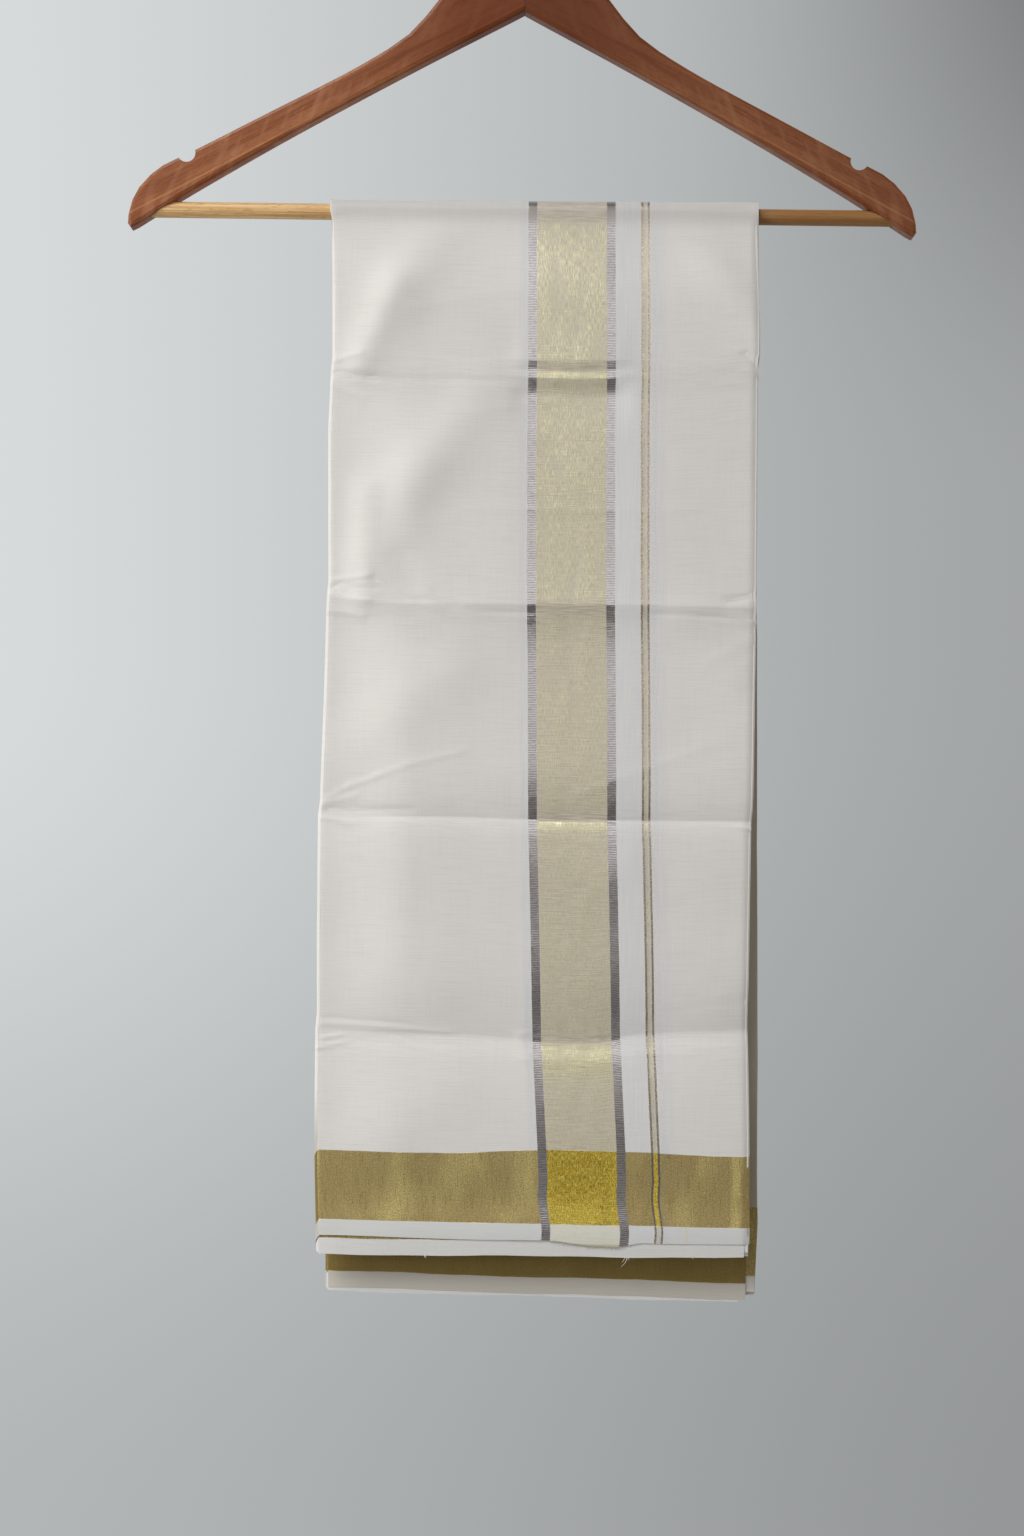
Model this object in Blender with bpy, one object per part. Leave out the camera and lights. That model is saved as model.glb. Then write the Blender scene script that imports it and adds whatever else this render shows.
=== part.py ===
"""A folded dhoti cloth hung over the trouser bar of a wooden hanger.

The cloth is one loom width, about 1.23 m, laid over the bar, and its four metres of length are halved
four times into a strip about 246 mm wide. The fold that closes the strip is on the left, and the page
edges and the raw end are on the right. The outermost leaf, its rounded fold and the innermost leaf are
one wall. The leaves between them are one body with stepped edges.

Sizes are in millimetres. Heights are taken from the centre of the bar. at() turns a place into metres
in the part's frame, whose origin is the inside top of the hook: X runs right and Y runs away from the
viewer.
"""

import math
from collections import namedtuple

import bmesh
import bpy
from mathutils import Vector
from mathutils.geometry import interpolate_bezier

MM = 0.001
TOUCH_GAP = 0.3

# Trouser bar and its sockets in the two arms
BAR_DIAMETER = 9.0
BAR_LENGTH = 433.0
BAR_SIDES = 24
SOCKET_DIAMETER = BAR_DIAMETER + 2 * TOUCH_GAP
SOCKET_DEPTH_AT = BAR_LENGTH / 2 + TOUCH_GAP
SOCKET_MOUTH_AT = 180.0

# Wooden arms
ARM_THICKNESS = 12.0
ARM_EDGE_ROUND = 2.2
ARM_POINT_STEP = 11.0
NECK_TOP = 150.0
NOTCH_RADIUS = 5.1
NOTCH_OUT = 191.7
NOTCH_HEIGHT = 31.0

# Wire hook
HOOK_WIRE = 3.4
HOOK_INNER_RADIUS = 19.5
HOOK_ABOVE_BAR = 212.0
HOOK_TIP_ANGLE = 205
HOOK_TURN_END_ANGLE = -48
SHANK_STRAIGHT_TOP = 163.0
SHANK_BORE_BOTTOM = 125.0
SHANK_BORE_DIAMETER = HOOK_WIRE + 2 * TOUCH_GAP

# Cloth walls, counted outwards from the bar
WALL = 1.0
CORE_ON_BAR = 1.05
CORE_IN_FALL = 2.4
CORE_OVERLAP = 0.06
CORE_START = WALL + TOUCH_GAP
INNER_RADIUS_ON_BAR = BAR_DIAMETER / 2 + TOUCH_GAP
INNER_HALF_GAP = 6.6
INNER_HALF_GAP_AT_HEM = 5.6
SPREAD_DROP = 60.0
SPINE_STEPS = 5
BAR_STEPS = 8

# Columns that every leaf shares, so that neighbours bend alike
FIRST_COLUMN = -96.0
LAST_COLUMN = 124.0
COLUMN_COUNT = 11

# Creases of the flat retail packet, and the rows of points on each side of them
CREASE_DEPTH = 1.9
CREASE_REACH = 26.0
PUFF = 0.9
ROW_OFFSETS = (-30, -8, 0, 8, 30, 60)
FIRST_ROWS = (0, -9, -24, -44)
ROWS_ABOVE_HEM = (27, 9)

# Hook turn and rounds
HOOK_TURN_STEPS = 24
HOOK_BEND_STEPS = 8
HOOK_BEND_REACH = 0.45
WIRE_BEVEL_STEPS = 3
NOTCH_SIDES = 28
BORE_SIDES = 16

Edge = namedtuple("Edge", "height x")
Crease = namedtuple("Crease", "height depth")
Fold = namedtuple("Fold", "x1 height1 x2 height2 rise width")
Outline = namedtuple("Outline", "out height")
Hem = namedtuple("Hem", "left right")
Hems = namedtuple("Hems", "front rear")
Leaf = namedtuple("Leaf", "into_fold past_edge hems")

ARM_TOP_EDGE = (
    Outline(0.0, NECK_TOP),
    Outline(10.0, 149.2),
    Outline(22.0, 146.2),
    Outline(33.0, 139.6),
    Outline(43.0, 128.6),
    Outline(56.4, 111.3),
    Outline(65.8, 101.1),
    Outline(77.2, 92.7),
    Outline(101.3, 78.4),
    Outline(155.0, 50.2),
    Outline(187.2, 33.3),
    Outline(205.3, 24.4),
    Outline(212.2, 19.1),
    Outline(218.6, 12.0),
    Outline(222.6, 4.4),
    Outline(224.7, -4.0),
    Outline(225.0, -8.8),
)
ARM_LOWER_EDGE = (
    Outline(223.2, -11.4),
    Outline(219.6, -9.6),
    Outline(204.9, -0.1),
    Outline(179.4, 15.6),
    Outline(130.7, 44.1),
    Outline(61.2, 82.4),
    Outline(0.0, 114.6),
)

# Left edge of each fall, where the strip is folded shut
SPINE_FRONT = (
    Edge(0, -109.6),
    Edge(-88, -106.7),
    Edge(-130, -108.7),
    Edge(-212, -107.4),
    Edge(-278, -109.1),
    Edge(-350, -110.9),
    Edge(-415, -111.5),
    Edge(-461, -111.0),
    Edge(-535, -111.5),
    Edge(-585, -110.2),
)
SPINE_REAR = (
    Edge(0, -109.6),
    Edge(-120, -107.5),
    Edge(-300, -106.4),
    Edge(-480, -106.9),
    Edge(-619, -105.8),
)

# Right edges, where the leaves lie open like pages
FACE_RIGHT_FRONT = (
    Edge(0, 134.4),
    Edge(-95, 135.2),
    Edge(-231, 135.0),
    Edge(-347, 134.0),
    Edge(-464, 133.2),
    Edge(-535, 135.3),
    Edge(-586, 136.0),
)
FACE_RIGHT_REAR = (
    Edge(0, 134.4),
    Edge(-301, 139.6),
    Edge(-415, 141.2),
    Edge(-552, 142.6),
    Edge(-580, 143.1),
    Edge(-619, 141.8),
)
INNER_RIGHT_REAR = (
    Edge(0, 133.4),
    Edge(-300, 134.6),
    Edge(-621, 136.1),
)

# Hem heights at the strip's left and right edges
FACE_HEMS = Hems(front=Hem(-584.8, -585.6), rear=Hem(-618.6, -618.6))
INNERMOST_HEMS = Hems(front=Hem(-592.6, -592.6), rear=Hem(-616.5, -621.1))

# The hidden leaves, from the bar outwards: how far each reaches into the round of the fold, as a share
# of its inner radius, how far past the right edge, and its hems
HIDDEN_LEAVES = (
    Leaf(0.3, 1.4, Hems(front=Hem(-590.4, -590.4), rear=Hem(-619.0, -622.6))),
    Leaf(0.6, -2.8, Hems(front=Hem(-588.2, -588.2), rear=Hem(-614.8, -618.4))),
    Leaf(0.3, -1.1, Hems(front=Hem(-594.4, -595.0), rear=Hem(-613.2, -616.8))),
)

CREASES_FRONT = (
    Crease(-97.7, 1.0),
    Crease(-228.2, 0.8),
    Crease(-346.8, 1.0),
    Crease(-468.8, 0.9),
)
CREASES_REAR = (
    Crease(-118.0, 0.9),
    Crease(-240.0, 1.0),
    Crease(-361.0, 0.8),
    Crease(-484.0, 1.0),
)

# Soft slanting folds: they fan out from where the bar carries the strip
FOLDS_FRONT = (
    Fold(-52, -4, -102, -92, 1.7, 17),
    Fold(-46, -122, -98, -168, 1.3, 15),
    Fold(78, -22, 128, -96, 1.5, 15),
    Fold(-36, -236, -92, -300, 0.9, 17),
    Fold(60, -360, 112, -440, 0.8, 18),
)
FOLDS_REAR = (
    Fold(-60, -6, -100, -104, 1.5, 17),
    Fold(84, -14, 126, -112, 1.6, 16),
    Fold(-30, -250, -88, -330, 1.0, 18),
    Fold(40, -376, 110, -450, 0.9, 18),
)


def at(x, y, height):
    """A place in the part's frame, in metres."""
    return Vector((x, y, height - HOOK_ABOVE_BAR)) * MM


def clear_scene():
    for thing in list(bpy.data.objects):
        bpy.data.objects.remove(thing, do_unlink=True)


def make_material(name, colour, roughness, metallic=0.0):
    material = bpy.data.materials.new(name)
    material.use_nodes = True
    shader = material.node_tree.nodes["Principled BSDF"]
    shader.inputs["Base Color"].default_value = (*colour, 1.0)
    shader.inputs["Roughness"].default_value = roughness
    shader.inputs["Metallic"].default_value = metallic
    return material


def add_object(name, mesh_or_curve, material=None):
    thing = bpy.data.objects.new(name, mesh_or_curve)
    bpy.context.scene.collection.objects.link(thing)
    if material:
        thing.data.materials.append(material)
    return thing


def smooth_step(value):
    value = min(max(value, 0.0), 1.0)
    return value * value * (3 - 2 * value)


def read_edge(table, height):
    """The edge's x at a height, straight between the table's rows."""
    if height >= table[0].height:
        return table[0].x
    for upper, lower in zip(table, table[1:]):
        if height >= lower.height:
            share = (upper.height - height) / (upper.height - lower.height)
            return upper.x + (lower.x - upper.x) * share
    return table[-1].x


def smooth_line(points, step):
    """Points about step apart on a smooth curve through the given ones."""
    points = [Vector(p) for p in points]
    reach = [0.0]
    for here, there in zip(points, points[1:]):
        reach.append(reach[-1] + (there - here).length)

    def slope(i):
        before = max(i - 1, 0)
        after = min(i + 1, len(points) - 1)
        return (points[after] - points[before]) / (reach[after] - reach[before])

    line = [points[0]]
    for i, (here, there) in enumerate(zip(points, points[1:])):
        span = reach[i + 1] - reach[i]
        count = max(1, round(span / step))
        for k in range(1, count + 1):
            t = k / count
            bend_out = slope(i) * span * (t * (1 - t) ** 2)
            bend_in = slope(i + 1) * span * (t * t * (t - 1))
            line.append(here.lerp(there, smooth_step(t)) + bend_out + bend_in)
    return line


def fold_rise(fold, x, height):
    """How far one soft fold lifts the cloth at a place: most along its line, and tapering at its ends."""
    along = Vector((fold.x2 - fold.x1, fold.height2 - fold.height1))
    to_place = Vector((x - fold.x1, height - fold.height1))
    share = to_place.dot(along) / along.length_squared
    beside = abs(along.x * to_place.y - along.y * to_place.x) / along.length
    past_end = max(-share, share - 1, 0) * along.length
    away = math.hypot(beside, past_end) / fold.width
    return fold.rise * math.exp(-away * away)


def relief(side, x, height):
    """How far the whole stack stands out from its plain fall at a place."""
    creases = CREASES_FRONT if side < 0 else CREASES_REAR
    folds = FOLDS_FRONT if side < 0 else FOLDS_REAR
    lift = 0.0
    for crease in creases:
        away = min(abs(height - crease.height) / CREASE_REACH, 1.0)
        lift -= CREASE_DEPTH * crease.depth * (1 - away) ** 2
    for upper, lower in zip(creases, creases[1:]):
        share = (upper.height - height) / (upper.height - lower.height)
        if 0 < share < 1:
            lift += PUFF * math.sin(math.pi * share)
    for fold in folds:
        lift += fold_rise(fold, x, height)
    return lift * smooth_step(-height / SPREAD_DROP)


def hem_height(hem, x):
    """A hem's height at x, straight from the strip's left edge to its right edge."""
    share = (x - SPINE_FRONT[0].x) / (FACE_RIGHT_FRONT[0].x - SPINE_FRONT[0].x)
    return hem.left + (hem.right - hem.left) * share


def inner_face(height, hem):
    """Distance of the innermost face of a fall from the plane through the bar."""
    spread = smooth_step(-height / SPREAD_DROP)
    lower_share = smooth_step(height / hem.left)
    fall_gap = INNER_HALF_GAP + (INNER_HALF_GAP_AT_HEM - INNER_HALF_GAP) * lower_share
    return INNER_RADIUS_ON_BAR + (fall_gap - INNER_RADIUS_ON_BAR) * spread


def core_thickness(height):
    return CORE_ON_BAR + (CORE_IN_FALL - CORE_ON_BAR) * smooth_step(-height / SPREAD_DROP)


class Row:
    """One line across the strip: on the front fall (side -1), over the bar (0) or on the rear fall (1).

    turn is the angle round the bar. On the row marked last, each leaf ends at its own hem."""

    def __init__(self, side, height, turn=None, last=False):
        self.side = side
        self.height = height
        self.turn = turn
        self.last = last
        self.core = core_thickness(height)
        self.stack = 2 * CORE_START + self.core

    def hem(self, hems):
        return hems.front if self.side < 0 else hems.rear

    def place(self, x, outward, hem):
        """The point at x that lies outward from the stack's innermost face."""
        if self.turn is not None:
            radius = INNER_RADIUS_ON_BAR + outward
            return at(x, -radius * math.cos(self.turn), radius * math.sin(self.turn))
        depth = inner_face(self.height, self.hem(FACE_HEMS)) + relief(self.side, x, self.height) + outward
        height = hem_height(hem, x) if self.last else self.height
        return at(x, self.side * depth, height)

    def edge(self, front_table, rear_table):
        """An edge's x on this row. Over the bar it passes from the front's value to the rear's."""
        if self.turn is None:
            return read_edge(front_table if self.side < 0 else rear_table, self.height)
        share = self.turn / math.pi
        return front_table[0].x * (1 - share) + rear_table[0].x * share


def fall_rows(side, creases, shortest_hem):
    """Rows of one fall from the bar down: close together at each crease, the last one at the hems."""
    heights = list(FIRST_ROWS)
    for crease in creases:
        heights += [crease.height - offset for offset in ROW_OFFSETS]
    heights += [shortest_hem + above for above in ROWS_ABOVE_HEM]
    return [Row(side, height) for height in heights] + [Row(side, heights[-1], last=True)]


def strip_rows():
    """Rows from the front hem up, over the bar and down to the rear hem."""
    front = fall_rows(-1, CREASES_FRONT, FACE_HEMS.front.left)
    rear = fall_rows(1, CREASES_REAR, HIDDEN_LEAVES[-1].hems.rear.left)
    turns = [Row(0, 0.0, turn=math.pi * k / BAR_STEPS) for k in range(1, BAR_STEPS)]
    return front[::-1] + turns + rear


def columns(left, right):
    """The shared columns, with this row's own two edges at the ends."""
    step = (LAST_COLUMN - FIRST_COLUMN) / (COLUMN_COUNT - 1)
    shared = [FIRST_COLUMN + step * k for k in range(COLUMN_COUNT)]
    return [left] + shared + [right]


def thick_sheet(name, outer, inner, material):
    """A closed wall between two equal grids of points, joined all round its rim.

    Each quad is split the same way as its neighbours in the other leaves, so that their gap is kept."""
    row_count = len(outer)
    width = len(outer[0])
    points = [p for grid in (outer, inner) for row in grid for p in row]
    inner_start = row_count * width
    faces = []
    for r in range(row_count - 1):
        for c in range(width - 1):
            corners = [r * width + c, r * width + c + 1, (r + 1) * width + c + 1, (r + 1) * width + c]
            if outer[r][c + 1].x < outer[r][c].x:
                corners = corners[1:] + corners[:1]
            one, two, three, four = corners
            faces += [(one, two, three), (one, three, four)]
            one, two, three, four = [inner_start + corner for corner in corners]
            faces += [(one, three, two), (one, four, three)]
    bottom = list(range(width))
    top = [(row_count - 1) * width + c for c in range(width)]
    left = [r * width for r in range(row_count)]
    right = [r * width + width - 1 for r in range(row_count)]
    rim = bottom + right[1:] + top[::-1][1:] + left[::-1][1:-1]
    for here, there in zip(rim, rim[1:] + rim[:1]):
        faces += [(there, here, inner_start + here), (there, inner_start + here, inner_start + there)]
    mesh = bpy.data.meshes.new(name)
    mesh.from_pydata(points, [], faces)
    bm = bmesh.new()
    bm.from_mesh(mesh)
    bmesh.ops.recalc_face_normals(bm, faces=bm.faces)
    bm.to_mesh(mesh)
    bm.free()
    return add_object(name, mesh, material)


def outer_fold(rows, material):
    """The face leaf, the rounded fold on the left and the innermost leaf, as one wall."""
    outer, inner = [], []
    for row in rows:
        face_hem = row.hem(FACE_HEMS)
        innermost_hem = row.hem(INNERMOST_HEMS)
        radius = row.stack / 2
        bend_x = row.edge(SPINE_FRONT, SPINE_REAR) + radius
        outer_line, inner_line = [], []
        for x in columns(bend_x, row.edge(FACE_RIGHT_FRONT, FACE_RIGHT_REAR))[::-1]:
            outer_line.append(row.place(x, row.stack, face_hem))
            inner_line.append(row.place(x, row.stack - WALL, face_hem))
        for k in range(1, SPINE_STEPS):
            share = k / SPINE_STEPS
            angle = math.pi * (0.5 + share)
            hem = Hem(*(face + (inmost - face) * share for face, inmost in zip(face_hem, innermost_hem)))
            for line, r in ((outer_line, radius), (inner_line, radius - WALL)):
                line.append(row.place(bend_x + r * math.cos(angle), radius + r * math.sin(angle), hem))
        for x in columns(bend_x, row.edge(FACE_RIGHT_FRONT, INNER_RIGHT_REAR)):
            outer_line.append(row.place(x, 0, innermost_hem))
            inner_line.append(row.place(x, WALL, innermost_hem))
        outer.append(outer_line)
        inner.append(inner_line)
    return thick_sheet("outer_fold", outer, inner, material)


def hidden_leaf(name, rows, leaf, order, material):
    """One leaf of the hidden layers, sunk a little into the one below it so that they join."""
    outer, inner = [], []
    rear_right = FACE_RIGHT_REAR if order else INNER_RIGHT_REAR
    for row in rows:
        thickness = row.core / len(HIDDEN_LEAVES)
        low = CORE_START + thickness * order
        high = low + thickness
        if order:
            low -= CORE_OVERLAP
        radius = row.stack / 2
        left = row.edge(SPINE_FRONT, SPINE_REAR) + radius - (radius - WALL) * leaf.into_fold
        right = row.edge(FACE_RIGHT_FRONT, rear_right) + leaf.past_edge
        hem = row.hem(leaf.hems)
        line = columns(left, right)
        outer.append([row.place(x, high, hem) for x in line])
        inner.append([row.place(x, low, hem) for x in line])
    return thick_sheet(name, outer, inner, material)


def middle_leaves(rows, material):
    """The leaves between the face and the innermost one: one body, stepped at its hems and right edge."""
    body = hidden_leaf("middle_leaves", rows, HIDDEN_LEAVES[0], 0, material)
    for order, leaf in enumerate(HIDDEN_LEAVES[1:], start=1):
        join_with(body, hidden_leaf(f"hidden_leaf_{order}", rows, leaf, order, material))
    return body


def join_with(solid, extra):
    union = solid.modifiers.new("join " + extra.name, "BOOLEAN")
    union.operation = "UNION"
    union.solver = "EXACT"
    union.object = extra
    hide_tool(extra)


def cut_with(solid, cutter):
    cut = solid.modifiers.new("cut " + cutter.name, "BOOLEAN")
    cut.operation = "DIFFERENCE"
    cut.solver = "EXACT"
    cut.object = cutter
    hide_tool(cutter)


def hide_tool(thing):
    thing.hide_render = True
    thing.display_type = "WIRE"


def cylinder(name, start, end, diameter, sides):
    """A closed round bar between two places."""
    mesh = bpy.data.meshes.new(name)
    bm = bmesh.new()
    length = (end - start).length
    radius = diameter / 2 * MM
    bmesh.ops.create_cone(
        bm, cap_ends=True, segments=sides, radius1=radius, radius2=radius, depth=length
    )
    bm.to_mesh(mesh)
    bm.free()
    mesh.shade_smooth()
    mesh.set_sharp_from_angle(angle=math.radians(40))
    rod = add_object(name, mesh)
    rod.location = (start + end) / 2
    rod.rotation_mode = "QUATERNION"
    rod.rotation_quaternion = (end - start).to_track_quat("Z", "Y")
    return rod


def arm_body(name, side, material):
    """One arm: its outline extruded through the thickness, with every long edge rounded."""
    outline = smooth_line(ARM_TOP_EDGE + ARM_LOWER_EDGE, ARM_POINT_STEP)
    half = ARM_THICKNESS / 2
    mesh = bpy.data.meshes.new(name)
    bm = bmesh.new()
    front, back = [], []
    for out, height in outline:
        x = side * max(out, TOUCH_GAP / 2)
        front.append(bm.verts.new(at(x, -half, height)))
        back.append(bm.verts.new(at(x, half, height)))
    bm.faces.new(front)
    bm.faces.new(back[::-1])
    count = len(front)
    for i in range(count):
        j = (i + 1) % count
        bm.faces.new((front[j], front[i], back[i], back[j]))
    bmesh.ops.recalc_face_normals(bm, faces=bm.faces)
    mitre = {front[0], front[-1], back[0], back[-1]}
    long_edges = [
        e
        for e in bm.edges
        if abs(e.verts[0].co.y - e.verts[1].co.y) < half * MM and not set(e.verts) <= mitre
    ]
    bmesh.ops.bevel(
        bm,
        geom=long_edges,
        offset=ARM_EDGE_ROUND * MM,
        segments=2,
        profile=0.5,
        affect="EDGES",
        clamp_overlap=False,
    )
    bm.to_mesh(mesh)
    bm.free()
    mesh.shade_smooth()
    mesh.set_sharp_from_angle(angle=math.radians(50))
    return add_object(name, mesh, material)


def hanger_arm(name, side, material):
    arm = arm_body(name, side, material)
    label = "left" if side < 0 else "right"
    notch = cylinder(
        f"notch_{label}",
        at(side * NOTCH_OUT, -ARM_THICKNESS, NOTCH_HEIGHT),
        at(side * NOTCH_OUT, ARM_THICKNESS, NOTCH_HEIGHT),
        2 * NOTCH_RADIUS,
        NOTCH_SIDES,
    )
    socket = cylinder(
        f"socket_{label}",
        at(side * SOCKET_MOUTH_AT, 0, 0),
        at(side * SOCKET_DEPTH_AT, 0, 0),
        SOCKET_DIAMETER,
        BAR_SIDES,
    )
    shank_bore = cylinder(
        f"shank_bore_{label}",
        at(0, 0, SHANK_BORE_BOTTOM),
        at(0, 0, NECK_TOP + ARM_THICKNESS),
        SHANK_BORE_DIAMETER,
        BORE_SIDES,
    )
    for cutter in (notch, socket, shank_bore):
        cut_with(arm, cutter)
    return arm


def trouser_bar(material):
    bar = cylinder(
        "trouser_bar", at(-BAR_LENGTH / 2, 0, 0), at(BAR_LENGTH / 2, 0, 0), BAR_DIAMETER, BAR_SIDES
    )
    bar.data.materials.append(material)
    return bar


def hook_line():
    """The wire's centre line: the tip, round the turn, through the reverse bend and down the shank."""
    radius = HOOK_INNER_RADIUS + HOOK_WIRE / 2
    middle = HOOK_ABOVE_BAR - HOOK_INNER_RADIUS
    line = []
    for k in range(HOOK_TURN_STEPS + 1):
        turned = (HOOK_TURN_END_ANGLE - HOOK_TIP_ANGLE) * k / HOOK_TURN_STEPS
        angle = math.radians(HOOK_TIP_ANGLE + turned)
        line.append(at(radius * math.cos(angle), 0, middle + radius * math.sin(angle)))
    heading = Vector((math.sin(angle), 0, -math.cos(angle)))
    shank_top = at(0, 0, SHANK_STRAIGHT_TOP)
    reach = HOOK_BEND_REACH * (line[-1] - shank_top).length
    bend = interpolate_bezier(
        line[-1],
        line[-1] + heading * reach,
        shank_top + Vector((0, 0, reach)),
        shank_top,
        HOOK_BEND_STEPS + 1,
    )
    return line + list(bend)[1:] + [at(0, 0, SHANK_BORE_BOTTOM + TOUCH_GAP)]


def hook(material):
    curve = bpy.data.curves.new("hook", "CURVE")
    curve.dimensions = "3D"
    curve.bevel_depth = HOOK_WIRE / 2 * MM
    curve.bevel_resolution = WIRE_BEVEL_STEPS
    curve.use_fill_caps = True
    line = hook_line()
    spline = curve.splines.new("POLY")
    spline.points.add(len(line) - 1)
    for point, place in zip(spline.points, line):
        point.co = (*place, 1.0)
    return add_object("hook", curve, material)


def main():
    clear_scene()
    cotton = make_material("cotton", (0.67, 0.65, 0.61), 0.8)
    arm_wood = make_material("hanger_wood", (0.30, 0.10, 0.035), 0.4)
    bar_wood = make_material("bar_wood", (0.47, 0.25, 0.09), 0.5)
    steel = make_material("hook_steel", (0.62, 0.61, 0.60), 0.25, 1.0)
    rows = strip_rows()
    outer_fold(rows, cotton)
    middle_leaves(rows, cotton)
    hanger_arm("hanger_arm_left", -1, arm_wood)
    hanger_arm("hanger_arm_right", 1, arm_wood)
    trouser_bar(bar_wood)
    hook(steel)


main()
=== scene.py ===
"""The looks of a folded dhoti cloth over the bar of a wooden hanger.

The cloth is one woven length, halved four times into a strip of sixteen leaves. Each two leaves
that share a round fold on the left are one thin sheet here: the wrap outside, and seven pairs
inside it like pages. Its gold borders, end band and stripes are woven in, so the finish has them.

Sizes are in millimetres, and heights are taken from the centre of the bar.
"""

import math

import bpy
import numpy as np
from mathutils import Matrix, Vector


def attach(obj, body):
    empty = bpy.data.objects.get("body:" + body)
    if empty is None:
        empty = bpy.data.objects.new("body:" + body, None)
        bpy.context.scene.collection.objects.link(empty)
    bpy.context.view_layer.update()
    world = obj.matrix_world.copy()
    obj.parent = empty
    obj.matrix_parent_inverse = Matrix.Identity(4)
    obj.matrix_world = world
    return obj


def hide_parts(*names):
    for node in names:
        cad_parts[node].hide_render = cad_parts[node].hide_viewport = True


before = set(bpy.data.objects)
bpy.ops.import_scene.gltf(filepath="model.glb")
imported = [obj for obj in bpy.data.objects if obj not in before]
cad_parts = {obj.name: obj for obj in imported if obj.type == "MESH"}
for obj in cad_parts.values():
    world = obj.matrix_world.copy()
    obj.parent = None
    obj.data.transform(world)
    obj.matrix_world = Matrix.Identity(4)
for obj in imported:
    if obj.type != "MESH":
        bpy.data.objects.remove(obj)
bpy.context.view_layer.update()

MM = 0.001
HOOK_ABOVE_BAR = 212.0

# The strip of cloth
LEAF_COUNT = 16
PAGE_PAIRS = 7
THREAD_SHARE = 0.62
INNER_RADIUS_ON_BAR = 4.8
INNER_HALF_GAP = 6.6
INNER_HALF_GAP_AT_HEM = 5.6
STACK_IN_FALL = 4.9
SPREAD_DROP = 60
LOWEST_RELIEF_ROW = -560
LAST_ROW_FRONT, LAST_ROW_REAR = -600, -625
STRIP_LEFT, STRIP_RIGHT = -110, 135

# Thickness of the whole stack where it lies on the bar, from the strip's left edge to its right
STACK_ON_BAR = ((-110, 1.9), (-60, 2.1), (30, 2.6), (135, 3.4))

# Left edge, where the strip is folded shut, as (height, x)
SPINE_FRONT = (
    (0, -109.6), (-8, -107.9), (-88, -106.7), (-96, -107.6), (-130, -108.7), (-212, -107.4),
    (-226, -108.3), (-278, -109.1), (-338, -110.6), (-346, -111.6), (-415, -111.5), (-461, -111),
    (-470, -111.9), (-535, -111.5), (-585, -110.2),
)
SPINE_REAR = ((0, -109.6), (-120, -107.5), (-300, -106.4), (-480, -106.9), (-619, -105.8))

# Right edges, where the leaves lie open like pages, as (height, x)
RIGHT_FRONT = (
    (0, 134.4), (-88, 135.4), (-95, 134.7), (-231, 135), (-340, 134.2), (-349, 133.4),
    (-464, 133.2), (-535, 135.3), (-586, 136),
)
RIGHT_REAR = ((0, 134.4), (-301, 139.6), (-415, 141.2), (-552, 142.6), (-580, 143.1), (-619, 141.8))
INNER_RIGHT_REAR = ((0, 133.4), (-300, 134.6), (-621, 136.1))

# Each leaf, from the outermost inwards: how far past the right edge it reaches, and the left and
# right ends of its front hem and of its rear hem
LEAVES = (
    (0, -583.2, -585.6, -618.6, -618.6), (-2.9, -594.2, -593.3, -613.2, -616.8),
    (-0.7, -588, -590.2, -615.6, -618), (-1.9, -591.6, -589, -611.8, -616),
    (-3.3, -586.8, -588.4, -614.6, -617.2), (-1.1, -592.4, -591.2, -617, -619.4),
    (-2.3, -588.6, -590.6, -612.8, -615.8), (-0.4, -590.6, -592.6, -616.2, -618.6),
    (-1.6, -587.2, -588, -613.8, -617.6), (-2.7, -591, -592.2, -617.6, -619.8),
    (-0.8, -589.4, -587.8, -614.8, -617), (-2, -592.8, -591.4, -618.4, -620.6),
    (-1.3, -588.2, -589.8, -616.8, -619.2), (-0.3, -591.8, -592.8, -613.6, -616.4),
    (-2.4, -589.8, -590.8, -618.8, -622.4), (0, -592.6, -592.6, -616.5, -621.1),
)

# How steeply the front fall leans out as it goes down, as (height, slope). The sharp changes are
# the creases of the flat packet that it was sold in.
FRONT_SLOPES = (
    (0, 0), (-6, 0.045), (-14, 0.06), (-78, 0.06), (-90, 0.05), (-97, -0.03), (-104, -0.02),
    (-112, 0.03), (-135, 0.03), (-198, 0.04), (-213, 0.07), (-224.4, 0.11), (-226, -0.2),
    (-231, -0.14), (-239, -0.06), (-251, 0.015), (-266, 0.045), (-314, 0.045), (-332, -0.06),
    (-345.8, -0.21), (-346.8, 0.3), (-350, 0.15), (-357, 0.03), (-375, -0.025), (-388, -0.03),
    (-418, -0.002), (-440, -0.055), (-455, -0.13), (-470.5, -0.2), (-473, 0.12), (-478, 0.24),
    (-485, 0.08), (-500, 0.035), (-520, -0.025), (-536, -0.07), (-550, -0.09), (-558, -0.04),
    (-568, 0.04), (-577, 0.03), (-584, -0.11), (-596, -0.11), (-604, 0),
)
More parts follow.
